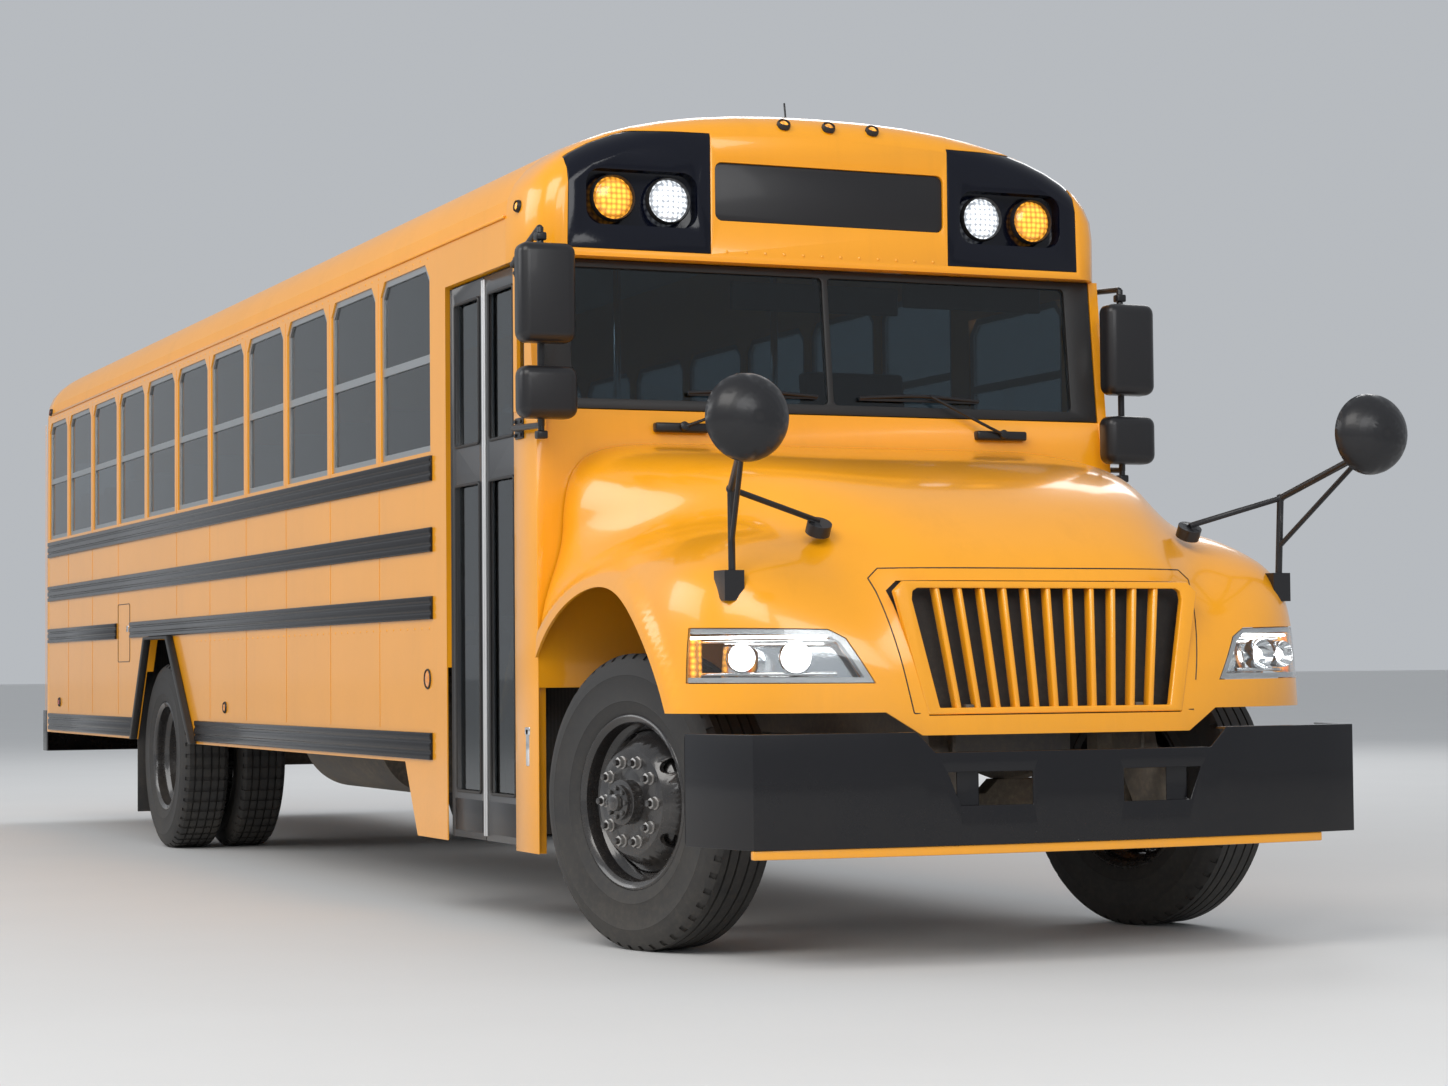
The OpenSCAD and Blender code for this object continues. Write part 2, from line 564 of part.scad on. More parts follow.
// outer face of the rear wall at height z
function rear_x(z) = -tail + rear_lean * (z - skirt_z) / (roof_h - rear_r - skirt_z);
module rear_form(inset) {
    r = rear_r - inset;
    top = roof_h - rear_r;
    cx = rear_x(top) + rear_r;
    intersection() {
        along_y([-half_w, half_w]) polygon(concat([[wall_back, skirt_z], [-tail + inset, skirt_z]],
            [for (a = [180:-15:90]) [cx + r * cos(a), top + r * sin(a)]],
            [[roof_back, roof_h - inset], [roof_back, wall_top], [wall_back, wall_top]]));
        along_x([-tail - 1, roof_back]) section(inset, skirt_z);
        if (inset == 0) translate([0, 0, skirt_z]) linear_extrude(roof_h) hull() {
            both_sides() translate([-tail + 110, half_w - 110]) circle(r = 110);
            translate([roof_back, -half_w]) square([1, body_w]);
        }
    }
}
door_half = 470;
door_foot = floor_top + 10;
module rear_wall() color("#f2a320") from_axle() difference() {
    rear_form(0);
    rear_hollow();
    block([-tail - 1, roof_back], [-door_half - door_gap, door_half + door_gap], [door_foot, 2460]);
    both_sides() block([-tail - 1, roof_back], [640, 1060], [sill_z, 2420]);
}
module rear_hollow() {
    top = roof_h - rear_r;
    intersection() {
        along_y([-half_w, half_w]) polygon([[wall_back + 1, skirt_z - 1], [-tail + wall_t, skirt_z - 1],
            [rear_x(top) + wall_t, top], [rear_x(top) + wall_t + 80, top + 90], [roof_back + 1, roof_h - wall_t],
            [roof_back + 1, wall_top + 1], [wall_back + 1, wall_top + 1]]);
        along_x([-tail - 1, roof_back + 2]) section(wall_t, skirt_z - 2);
    }
    block([wall_back - 1, roof_back + 1], [-half_w - 1, half_w + 1], [skirt_z - 1, wall_top + 2]);
}
// the leaning slab of the rear wall between two heights
module rear_slab(y, z, depth) along_y(y) polygon([
    [rear_x(z[0]) + depth[0], z[0]], [rear_x(z[0]) + depth[1], z[0]],
    [rear_x(z[1]) + depth[1], z[1]], [rear_x(z[1]) + depth[0], z[1]]]);
module rear_door() color("#f2a320") from_axle() {
    foot = door_foot + door_gap;
    head = 2460 - door_gap;
    hinge_y = -door_half - door_gap / 2;
    difference() {
        rear_slab([-door_half, door_half], [foot, head], [0, wall_t]);
        for (z = [[1180, 1650], [sill_z, 2380]])
            block([-tail - 1, roof_back], [-door_half + 90, door_half - 90], z);
    }
    rod([rear_x(foot), hinge_y, foot], [rear_x(head), hinge_y, head], barrel_r);
    rear_slab([hinge_y, -door_half + 1], [foot, head], [0, 4]);
}
module rear_door_glass() color("#27343c") from_axle() {
    for (z = [[1180, 1650], [sill_z, 2380]])
        rear_slab([-door_half + 90 + fit, door_half - 90 - fit], [z[0] + fit, z[1] - fit], [17, 17 + glass_t]);
}

// ---- glass and trim ----
module windshield_plane() {
    lean = atan2(glass_foot - glass_x, cap_z - glass_z);
    translate([glass_foot, 0, glass_z]) rotate([0, -lean, 0]) rotate([90, 0, 90]) children();
}
shield_foot = fit + 34 * tan(atan2(glass_foot - glass_x, cap_z - glass_z));
shield_h = (cap_z - glass_z) / cos(atan2(glass_foot - glass_x, cap_z - glass_z)) - 3.2;
module pane_outline(inset) translate([12 + inset, 42 + inset]) offset(20)
    translate([20, 20]) square([1062 - 52 - 2 * inset, shield_h - 42 - 30 - 40 - 2 * inset]);
module windshield_frame() color("#131416") from_axle() windshield_plane() translate([0, 0, -34])
    linear_extrude(34) difference() {
        translate([-half_w + wall_t + 5, shield_foot]) square([body_w - 2 * wall_t - 10, shield_h - shield_foot]);
        for (s = [0, 1]) mirror([s, 0]) pane_outline(0);
    }
module windshield_glass() color("#27343c") from_axle() windshield_plane() translate([0, 0, -18])
    linear_extrude(glass_t) for (s = [0, 1]) mirror([s, 0]) pane_outline(fit);

module sash(w, h) {
    linear_extrude(sash_t) {
        difference() {
            translate([0.5, 0.5]) clipped(w - 1, h - 1, 60);
            translate([sash_w, sash_w]) clipped(w - 2 * sash_w, h - 2 * sash_w, 46);
        }
        translate([sash_w - 1, h * 0.5 - 20]) square([w - 2 * sash_w + 2, 34]);
    }
}
module panes(w, h) linear_extrude(glass_t) {
    translate([sash_w + fit, sash_w + fit]) square([w - 2 * sash_w - 2 * fit, h * 0.5 - 20 - sash_w - 2 * fit]);
    translate([sash_w + fit, h * 0.5 + 14 + fit])
        clipped(w - 2 * sash_w - 2 * fit, h * 0.5 - 14 - sash_w - 2 * fit, 46);
}
module on_wall(depth) translate([0, half_w - depth, sill_z]) rotate([90, 0, 0]) children();
module all_windows(depth, glass) {
    both_sides() window_bays() {
        on_wall(depth) if (glass) panes(win_w, win_h); else sash(win_w, win_h);
        on_wall(depth) if (glass) panes(last_w, win_h); else sash(last_w, win_h);
    }
    // driver's window
    w = door_w - 20;
    translate([-door_back - 40, 0, 0]) on_wall(depth) if (glass) panes(w, cap_z - 40 - sill_z);
        else sash(w, cap_z - 40 - sill_z);
    // rear windows
    both_sides() if (glass)
        rear_slab([640 + sash_w + fit, 1060 - sash_w - fit],
            [sill_z + sash_w + fit, 2420 - sash_w - fit], [15, 21]);
    else difference() {
        rear_slab([640.5, 1059.5], [sill_z + 0.5, 2419.5], [6, 30]);
        block([-tail - 1, roof_back], [640 + sash_w, 1060 - sash_w], [sill_z + sash_w, 2420 - sash_w]);
    }
}
module side_window_frames() color("#8f959a") from_axle() all_windows(8, false);
module side_window_glass() color("#27343c") from_axle() {
    all_windows(17, true);
    both_sides() block([-door_front + 40 + fit, glass_x - 40 - fit], [half_w - 20, half_w - 14],
        [glass_z + 40 + fit, cap_z - 50 - fit]);
}

rail_rows = [[1752, 1855], [1462, 1562], [1187, 1281], [615, 725]];
module rub_rails() color("#16171a") from_axle() both_sides() for (r = rail_rows) {
    spans = r[1] < 800 ? [[-1890, arch_x + 826], [arch_x - 702, wall_back + 20]]
        : r[1] < 1300 ? [[-1880, -7690], [-8100, wall_back + 5]] : [[-1880, wall_back + 5]];
    for (p = spans) along_x([p[1], p[0]]) translate([half_w + fit, r[0]]) rail_profile(r[1] - r[0]);
}
module rail_profile(h) polygon([[0, 0], [10, 0], [14, 4], [14, h * 0.22], [9, h * 0.26], [9, h * 0.34],
    [14, h * 0.38],
    [14, h * 0.62], [9, h * 0.66], [9, h * 0.74], [14, h * 0.78], [14, h - 4], [10, h], [0, h]]);
module arch_trims() color("#1a1b1d") from_axle() both_sides() along_y([half_w + fit, half_w + 40]) difference() {
    polygon([[arch_x - 705, skirt_z], [arch_x - 335, arch_top + 16], [arch_x + 265, arch_top + 16],
        [arch_x + 835, skirt_z], [arch_x + 789, skirt_z], [arch_x + 229, arch_top], [arch_x - 299, arch_top],
        [arch_x - 659, skirt_z]]);
}
module mud_flaps() color("#17181a") from_axle() both_sides() {
    block([arch_x - 700, arch_x - 690], [620, half_w - 10], [180, floor_z - 60]);
    block([arch_x - 720, arch_x - 690], [rail_y, half_w - wall_t - fit], [floor_z - 60, floor_z - fit]);
}

// ---- entrance ----
lower_win = [500, 1712];
upper_win = [1868, 2440];
module leaf_at(front) translate([front ? -door_front - door_gap - leaf_w : -door_back + door_gap,
    -leaf_y + leaf_t, 0]) rotate([90, 0, 0]) children();
module leaf_glass() for (z = [lower_win, upper_win]) translate([stile_w + fit, z[0] + fit, leaf_t / 2])
    cube([leaf_w - 2 * (stile_w + fit), z[1] - z[0] - 2 * fit, glass_t]);
module door_leaf(front) leaf_at(front) {
    h = door_top - door_gap - leaf_z;
    hinge = front ? leaf_w + door_gap / 2 : -door_gap / 2;
    difference() {
        translate([0, leaf_z, 0]) cube([leaf_w, h, leaf_t]);
        for (z = [lower_win, upper_win])
            translate([stile_w, z[0], -1]) cube([leaf_w - 2 * stile_w, z[1] - z[0], leaf_t + 2]);
    }
    translate([hinge, leaf_z, leaf_t]) rotate([-90, 0, 0]) cylinder(h = h, r = barrel_r);
    translate([front ? leaf_w - 1 : hinge, leaf_z, leaf_t - 4]) cube([door_gap / 2 + 1, h, 4]);
}
module front_door_leaf() color("#2b2d30") from_axle() door_leaf(true);
module rear_door_leaf() color("#2b2d30") from_axle() door_leaf(false);
module front_leaf_glass() color("#27343c") from_axle() leaf_at(true) leaf_glass();
module rear_leaf_glass() color("#27343c") from_axle() leaf_at(false) leaf_glass();

// ---- mirrors and small pieces on the body ----
module mirror_head(w, h, d) hull() for (y = [12, w - 12], z = [12, h - 12])
    translate([0, y, z]) rotate([0, 90, 0]) cylinder(h = d, r = 12, $fn = 24);
module rearview_mirrors() color("#141416") from_axle() for (s = [-1, 1]) {
    x = s < 0 ? -450 : -575;
    drop = s < 0 ? 0 : -110;
    mirror([0, s < 0 ? 1 : 0, 0]) {
        translate([x, 1146, 2160 + drop]) mirror_head(217, 364, 90);
        translate([x, 1140, 1885 + drop]) mirror_head(222, 191, 90);
        rod([x - 12, 1255, 1860 + drop], [x - 12, 1255, 2590 + drop], 13);
        arm_x = s < 0 ? glass_x - 90 : glass_x - 100;
        for (z = [[2590 + drop, cap_z - 26], [1865 + drop, 1880 + drop]]) {
            rod([x - 12, 1255, z[0]], [arm_x, half_w + 24, z[1]], 12);
            translate([arm_x, half_w + fit, z[1]]) rotate([-90, 0, 0]) cylinder(h = 34, r = 20);
        }
    }
}

module bench(x) translate([x, 0, floor_top]) {
    outer = half_w - wall_t - fit;
    for (x = [-330, -90]) block([x, x + 40], [215, 245], [0, 350]);
    block([-400, 0], [190, outer], [340, 430]);
    along_y([190, outer]) polygon([[-400, 340], [-330, 340], [-410, 1060], [-480, 1060]]);
}
module passenger_seats() color("#2c3e50") from_axle() both_sides()
    for (i = [0:seat_rows - 1]) bench(-seat_front - seat_pitch * i);
module driver_seat() color("#26282b") from_axle() translate([-1350, 560, floor_top]) {
    block([-200, 200], [-150, 150], [0, 340]);
    block([-250, 250], [-250, 250], [340, 450]);
    along_y([-250, 250]) polygon([[-250, 450], [-130, 450], [-230, 1150], [-330, 1150]]);
}
module dashboard() color("#1b1c1e") from_axle() {
    along_y([-1100, 1160]) polygon([[-dash_setback - 1, 1500], [-dash_setback - 1, 1770], [glass_foot - 45, 1800],
        [-800, 1790], [-840, 1700], [-800, 1500]]);
    rod([-790, 560, 1560], [-1000, 560, 1740], 28);
    translate([-1000, 560, 1740]) rotate([0, -49, 0]) {
        rotate_extrude() translate([220, 0]) circle(r = 14);
        for (a = [0, 120, 240]) rotate([0, 0, a + 30]) translate([0, -14, -6]) cube([222, 28, 12]);
    }
}
module roof_hatches() color("#e8e8e6") from_axle() for (x = [-3900, -8000])
    difference() {
        block([x - 320, x + 320], [-320, 320], [roof_h - 30, roof_h + 35]);
        along_x([x - 330, x + 330]) section(-fit, 1500);
    }

// stop sign folded flat along the left side
module stop_arm() color("#b3202a") from_axle() translate([stop_x, half_w + stop_out, stop_z]) {
    translate([-stop_w / 2 - 60, 0, 0]) rotate([90, 22.5, 0])
        cylinder(h = 8, r = stop_w / 2, center = true, $fn = 8);
    block([-80, 0], [-4, 4], [-60, 60]);
    translate([0, 0, -70]) cylinder(h = 140, r = 12);
}

// ---- hood: dome and fenders blended, its points found along rays from a point low in the back ----
hood_x = -650;
hood_z = 700;
hood_back = -606;
lip_z = 752;
z0 = 750;
function smin(a, b, k) = let (h = max(k - abs(a - b), 0) / k) min(a, b) - h * h * k / 4;
function ell(u, v, n) = pow(pow(abs(u), n) + pow(abs(v), n), 1 / n);
function dome(x, y, z) = let (s = min(1.05, max(0, (x + 600) / 1630)), w = half_w - 94 - 515 * pow(s, 1.3),
    h = hood_top - z0 - 200 * s - (hood_top - 200 - hood_nose) * pow(s, 5))
    (ell(y / w, max(0, z - z0) / h, 10 - 6 * s) - 1) * min(w, h);
function fender(x, y, z) = let (h = 760 * (1 - pow(abs(x + 50) / 1250, 4)))
    (ell(y / half_w, max(0, z - z0) / h, 5) - 1) * h;
function nose(x, y, z) = let (a = nose_x - 0.12 * (z - 830)) (ell(max(0, x) / a, y / 1330, 3.2) - 1) * a;
function hood_field(p) = -smin(-smin(dome(p[0], p[1], p[2]), fender(p[0], p[1], p[2]), 90),
    -nose(p[0], p[1], p[2]), 100);
function ray_hit(d, level, lo, hi, n) = n == 0 ? (lo + hi) / 2 : let (m = (lo + hi) / 2)
    hood_field([hood_x + m * d[0], m * d[1], hood_z + m * d[2]]) < level
        ? ray_hit(d, level, m, hi, n - 1) : ray_hit(d, level, lo, m, n - 1);
module hood_form(level, rings = 30, spokes = 40) {
    function at(i, j) = let (l = 90 * i / rings, p = 180 * j / spokes,
        d = [cos(l), sin(l) * cos(p), sin(l) * sin(p)],
        t = ray_hit(d, level, 0, 2400, 17)) [hood_x + t * d[0], t * d[1], hood_z + t * d[2]];
    n = spokes + 1;
    points = concat([at(0, 0), [hood_x, 0, hood_z]], [for (i = [1:rings], j = [0:spokes]) at(i, j)]);
    function id(i, j) = 2 + (i - 1) * n + j;
    polyhedron(points, concat(
        [for (j = [0:spokes - 1]) [0, id(1, j + 1), id(1, j)]],
        [for (i = [1:rings - 1], j = [0:spokes - 1]) [id(i, j), id(i, j + 1), id(i + 1, j + 1)]],
        [for (i = [1:rings - 1], j = [0:spokes - 1]) [id(i, j), id(i + 1, j + 1), id(i + 1, j)]],
        [for (j = [0:spokes - 1]) [1, id(rings, j), id(rings, j + 1)]],
        [for (i = [1:rings - 1]) [1, id(i, 0), id(i + 1, 0)]],
        [for (i = [1:rings - 1]) [1, id(i + 1, spokes), id(i, spokes)]],
        [[1, 0, id(1, 0)], [1, id(1, spokes), 0]]));
}
module grille_outline(grow) polygon([for (p = [[-477, 815], [477, 815], [560, 1180], [572, 1225], [535, 1258],
    [-535, 1258], [-572, 1225], [-560, 1180]]) [p[0] + sign(p[0]) * grow, p[1] + (p[1] > 1000 ? grow : -grow)]]);
module lamp_window(inset) both_sides() along_x([700, 1250]) polygon([[1250, 1112 - inset], [790, 1100 - inset],
    [735 + inset, 1070 - inset], [650 + 2 * inset, 922 + inset], [1250, 926 + inset]]);
module hood() color("#f2a320") from_axle() resize([0, 0, 0]) difference() {
    intersection() {
        hood_form(0);
        block([hood_back, 1300], [-half_w, half_w], [lip_z, 2000]);
    }
    hood_form(-hood_t);
    both_sides() translate([-60, half_w + 1, 530]) rotate([90, 0, 0]) cylinder(h = 480, r = arch_r, $fn = 96);
    both_sides() along_x([0, 1300]) polygon([[490, lip_z - 9], [623, 828], [1400, 828], [1400, 700], [490, 700]]);
    block([hood_back - 1, 0], [-half_w - 1, half_w + 1], [700, 900]);
    along_x([800, 1250]) grille_outline(0);
    lamp_window(0);
}
module headlights() color("#e8eef2") from_axle() resize([0, 0, 0]) difference() {
    intersection() {
        hood_form(0);
        lamp_window(2);
    }
    hood_form(-70);
    block([690, 1300], [-600, 600], [800, 1200]);
}
module grille() color("#f2a320") from_axle() {
    lean = atan(0.12);
    difference() {
        along_y([-700, 700]) polygon([[nose_x - 36, 817], [nose_x - 10, 817], [nose_x - 63, 1256],
            [nose_x - 93, 1256]]);
        difference() {
            along_x([800, 1300]) translate([-800, 700]) square([1600, 700]);
            along_x([799, 1301]) grille_outline(-3);
        }
        for (i = [0:slots - 1]) along_x([900, 1300]) polygon([slot_at(i, 0.12, 842), slot_at(i, 0.88, 842),
            slot_at(i, 0.88, 1226), slot_at(i, 0.12, 1226)]);
    }
    // hinge ears on the chassis pins
    both_sides() difference() {
        union() {
            block([hinge_x - 24, hinge_x + 24], [rail_y - rail_flange - 46, rail_y - rail_flange - 16],
                [hinge_z, 845]);
            translate([hinge_x, rail_y - rail_flange - 16, hinge_z]) rotate([90, 0, 0]) cylinder(h = 30, r = 24);
        }
        translate([hinge_x, rail_y, hinge_z]) rotate([90, 0, 0]) cylinder(h = 200, r = 12 + run_gap);
    }
}
function slot_at(i, part, z) = let (h = z < 1000 ? 435 : 500) [-h + 2 * h * (i + part) / slots, z];

module crossview_mirrors() color("#141416") from_axle() both_sides() {
    foot = [759, 717, 1439];
    base = [790, 1054, 1215];
    top = [820, 1060, 1560];
    bowl = [bowl_x, 1170, 1760];
    elbow = bowl - [20, 0, 60];
    resize([0, 0, 0]) difference() {
        union() {
            translate(base) hull() {
                translate([-50, -35, 20]) cube([90, 70, 60]);
                translate([10, -35, -20]) cube([30, 70, 100]);
            }
            translate(foot) rotate([0, 30, 0]) cylinder(h = 40, r = 42, center = true);
        }
        hood_form(fit);
    }
    rod(base + [20, 0, 70], top, 12);
    rod(foot + [5, 2, 22], top, 10);
    rod(top, elbow, 12);
    rod(base + [20, 0, 170], elbow, 9);
    for (p = [elbow, top]) translate(p) sphere(r = 16);
    translate(bowl - [30, 0, 0]) rotate([0, 90, 0]) rotate_extrude() polygon(concat([[0, -50]],
        [for (a = [0:10:90]) [bowl_r * cos(a), 30 + bowl_d * sin(a)]], [[0, bowl_d + 30]]));
    rod(elbow, bowl - [20, 0, 0], 12);
}

chassis_frame();
front_bumper();
bumper_strip();
rear_bumper();
engine_block();
radiator();
drive_shaft();
fuel_tank();
exhaust_pipe();
front_axle();
rear_axle();
leaf_springs();
mud_flaps();
left_knuckle();
right_knuckle();
front_left_wheel();
front_left_tyre();
front_right_wheel();
front_right_tyre();
rear_left_wheels();
rear_left_tyres();
rear_right_wheels();
rear_right_tyres();
floor();
step_well();
cowl();
left_side_wall();
right_side_wall();
roof();
front_cap();
rear_wall();
windshield_frame();
windshield_glass();
side_window_frames();
side_window_glass();
rub_rails();
arch_trims();
lamp_panels();
signal_lamps();
destination_sign();
rearview_mirrors();
passenger_seats();
driver_seat();
dashboard();
hood();
grille();
headlights();
crossview_mirrors();
front_door_leaf();
front_leaf_glass();
rear_door_leaf();
rear_leaf_glass();
rear_door();
rear_door_glass();
stop_arm();
roof_hatches();
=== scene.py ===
import json
import math

import bpy
import numpy as np
from mathutils import Matrix, Vector


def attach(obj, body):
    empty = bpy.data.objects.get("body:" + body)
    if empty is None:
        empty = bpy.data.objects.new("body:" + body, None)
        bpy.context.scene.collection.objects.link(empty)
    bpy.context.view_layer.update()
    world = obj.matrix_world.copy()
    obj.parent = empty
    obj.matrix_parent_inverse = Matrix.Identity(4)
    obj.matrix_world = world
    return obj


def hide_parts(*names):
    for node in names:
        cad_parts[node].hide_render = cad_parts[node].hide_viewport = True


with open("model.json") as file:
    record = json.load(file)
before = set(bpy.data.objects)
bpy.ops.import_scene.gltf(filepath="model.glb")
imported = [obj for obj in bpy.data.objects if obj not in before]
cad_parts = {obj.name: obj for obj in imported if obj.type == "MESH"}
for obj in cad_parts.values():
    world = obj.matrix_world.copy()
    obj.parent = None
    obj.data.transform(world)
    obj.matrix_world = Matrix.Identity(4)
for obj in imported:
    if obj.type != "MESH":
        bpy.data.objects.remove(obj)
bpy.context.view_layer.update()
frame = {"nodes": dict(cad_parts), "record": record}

axleX = 4.6445  # the front axle, ahead of the middle of the bus
mm = 0.001


# ---- small tools ----
def clearSelection():
    if bpy.context.object and bpy.context.object.mode != "OBJECT":
        bpy.ops.object.mode_set(mode="OBJECT")
    bpy.ops.object.select_all(action="DESELECT")


def activate(piece):
    clearSelection()
    piece.select_set(True)
    bpy.context.view_layer.objects.active = piece


def applyPlace(piece):
    activate(piece)
    bpy.ops.object.transform_apply(location=True, rotation=True, scale=True)


def applyModifier(piece, kind, **settings):
    activate(piece)
    modifier = piece.modifiers.new(kind.lower(), kind)
    for key, value in settings.items():
        setattr(modifier, key, value)
    bpy.ops.object.modifier_apply(modifier=modifier.name)


def addBevel(piece, width, segments=2, angle=30):
    applyModifier(piece, "BEVEL", width=width, segments=segments, limit_method="ANGLE",
                  angle_limit=math.radians(angle), miter_outer="MITER_ARC")


def selectFaces(piece, wanted):  # leaves the piece in edit mode with those faces selected
    activate(piece)
    bpy.ops.object.mode_set(mode="EDIT")
    bpy.ops.mesh.select_mode(type="FACE")
    bpy.ops.mesh.select_all(action="DESELECT")
    bpy.ops.object.mode_set(mode="OBJECT")
    for face in piece.data.polygons:
        face.select = bool(wanted(face))
    bpy.ops.object.mode_set(mode="EDIT")


def settle(piece, body, material, angle=35):  # place in the mesh, smooth, painted, riding on its body
    applyPlace(piece)
    bpy.ops.object.shade_smooth_by_angle(angle=math.radians(angle))
    piece.data.materials.clear()
    piece.data.materials.append(material)
    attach(piece, body)
    return piece


def roundedBlock(name, low, high, bevel, segments=2):
    clearSelection()
    low, high = Vector(low), Vector(high)
    bpy.ops.mesh.primitive_cube_add(size=1, location=(low + high) / 2)
    piece = bpy.context.object
    piece.name = name
    piece.scale = high - low
    applyPlace(piece)
    bpy.ops.object.mode_set(mode="EDIT")
    bpy.ops.mesh.select_all(action="SELECT")
    bpy.ops.mesh.bevel(offset=bevel, segments=segments, affect="EDGES")
    bpy.ops.object.mode_set(mode="OBJECT")
    return piece


def rod(name, start, end, radius, sides=16, bevel=0.0):
    clearSelection()
    start, end = Vector(start), Vector(end)
    way = end - start
    bpy.ops.mesh.primitive_cylinder_add(vertices=sides, radius=radius, depth=way.length,
                                        location=(start + end) / 2, rotation=way.to_track_quat("Z", "Y").to_euler())
    piece = bpy.context.object
    piece.name = name
    applyPlace(piece)
    addBevel(piece, bevel or radius * 0.15, 2, 60)
    return piece


def tube(name, points, radius, bend=0.5):
    curve = bpy.data.curves.new(name, "CURVE")
    curve.dimensions = "3D"
    curve.bevel_depth = radius
    curve.bevel_resolution = 4
    curve.use_fill_caps = True
    line = curve.splines.new("POLY")
    rounded = [Vector(points[0])]
    for before, here, after in zip(points, points[1:], points[2:]):
        before, here, after = Vector(before), Vector(here), Vector(after)
        reach = min((before - here).length, (after - here).length) * 0.5 * bend
        a = here + (before - here).normalized() * reach
        b = here + (after - here).normalized() * reach
        for i in range(7):
            t = i / 6
            rounded.append((1 - t) ** 2 * a + 2 * t * (1 - t) * here + t * t * b)
    rounded.append(Vector(points[-1]))
    line.points.add(len(rounded) - 1)
    for point, place in zip(line.points, rounded):
        point.co = (*place, 1)
    piece = bpy.data.objects.new(name, curve)
    bpy.context.collection.objects.link(piece)
    activate(piece)
    bpy.ops.object.convert(target="MESH")
    return bpy.context.object


def lathe(name, profile, steps=48, closed=False):  # profile of (radius, height) turned about Z
    clearSelection()
    bpy.ops.mesh.primitive_circle_add(vertices=len(profile), fill_type="NOTHING")
    piece = bpy.context.object
    piece.name = name
    for vertex, (radius, height) in zip(piece.data.vertices, profile):
        vertex.co = (radius, 0, height)
    bpy.ops.object.mode_set(mode="EDIT")
    bpy.ops.mesh.select_mode(type="EDGE")
    if not closed:  # the edge that closes the circle goes
        bpy.ops.mesh.select_all(action="DESELECT")
        bpy.ops.object.mode_set(mode="OBJECT")
        last = len(profile) - 1
        for edge in piece.data.edges:
            edge.select = set(edge.vertices) == {0, last}
        bpy.ops.object.mode_set(mode="EDIT")
        bpy.ops.mesh.delete(type="EDGE_FACE")
    bpy.ops.mesh.select_all(action="SELECT")
    bpy.ops.mesh.spin(steps=steps, angle=2 * math.pi, center=(0, 0, 0), axis=(0, 0, 1))
    bpy.ops.mesh.select_all(action="SELECT")
    bpy.ops.mesh.remove_doubles(threshold=1e-5)
    bpy.ops.mesh.normals_make_consistent(inside=False)
    bpy.ops.object.mode_set(mode="OBJECT")
    return piece


def copyOf(piece, name, place=None):
    twin = piece.copy()
    twin.data = piece.data.copy()
    twin.name = name
    bpy.context.collection.objects.link(twin)
    if place is not None:
        twin.matrix_world = place @ twin.matrix_world
        applyPlace(twin)
    return twin


def joined(pieces, name):
    activate(pieces[0])
    for piece in pieces:
        piece.select_set(True)
    if len(pieces) > 1:
        bpy.ops.object.join()
    bpy.context.object.name = name
    return bpy.context.object


def repeated(piece, count, step):
    applyModifier(piece, "ARRAY", count=count, use_relative_offset=False, use_constant_offset=True,
                  constant_offset_displace=step)
    return piece


def cut(piece, cutter, operation="DIFFERENCE"):
    applyModifier(piece, "BOOLEAN", operation=operation, object=cutter, solver="EXACT")
    bpy.data.objects.remove(cutter)


def prism(name, outline, low, high):  # outline of (y, z), reaching from low to high along X
    clearSelection()
    bpy.ops.mesh.primitive_circle_add(vertices=len(outline), fill_type="NGON")
    piece = bpy.context.object
    piece.name = name
    for vertex, (y, z) in zip(piece.data.vertices, outline):
        vertex.co = (low, y, z)
    bpy.ops.object.mode_set(mode="EDIT")
    bpy.ops.mesh.select_all(action="SELECT")
    bpy.ops.mesh.extrude_region_move(TRANSFORM_OT_translate={"value": (high - low, 0, 0)})
    bpy.ops.mesh.select_all(action="SELECT")
    bpy.ops.mesh.normals_make_consistent(inside=False)
    bpy.ops.object.mode_set(mode="OBJECT")
    return piece


# ---- materials ----
def newGroup(name, inputs, outputs):
    group = bpy.data.node_groups.new(name, "ShaderNodeTree")
    kinds = {"vector": "NodeSocketVector", "colour": "NodeSocketColor", "value": "NodeSocketFloat"}
    for label, kind, value in inputs:
        socket = group.interface.new_socket(name=label, in_out="INPUT", socket_type=kinds[kind])
        if value is not None:
            socket.default_value = value
    for label, kind in outputs:
        group.interface.new_socket(name=label, in_out="OUTPUT", socket_type=kinds[kind])
    return group, group.nodes.new("NodeGroupInput"), group.nodes.new("NodeGroupOutput")


def addNode(tree, kind, **settings):
    node = tree.nodes.new(kind)
    for key, value in settings.items():
        if key in node.inputs.keys() or key.startswith("in"):
            continue
        setattr(node, key, value)
    return node


def mathNode(tree, operation, first, second):
    node = tree.nodes.new("ShaderNodeMath")
    node.operation = operation
    for socket, value in zip(node.inputs, (first, second)):
        if isinstance(value, (int, float)):
            socket.default_value = value
        else:
            tree.links.new(value, socket)
    return node.outputs[0]


def noise(tree, vector, scale, detail=4, roughness=0.6, stretch=None):
    if stretch:
        mapping = tree.nodes.new("ShaderNodeMapping")
        mapping.inputs["Scale"].default_value = stretch
        tree.links.new(vector, mapping.inputs["Vector"])
        vector = mapping.outputs["Vector"]
    node = tree.nodes.new("ShaderNodeTexNoise")
    node.inputs["Scale"].default_value = scale
    node.inputs["Detail"].default_value = detail
    node.inputs["Roughness"].default_value = roughness
    tree.links.new(vector, node.inputs["Vector"])
    return node.outputs["Fac"]


def mixColour(tree, factor, first, second):
    node = tree.nodes.new("ShaderNodeMix")
    node.data_type = "RGBA"
    node.clamp_factor = True
    for socket, value in ((node.inputs[0], factor), (node.inputs[6], first), (node.inputs[7], second)):
        if isinstance(value, (int, float)):
            socket.default_value = value
        elif isinstance(value, tuple):
            socket.default_value = (*value, 1)
        else:
            tree.links.new(value, socket)
    return node.outputs[2]


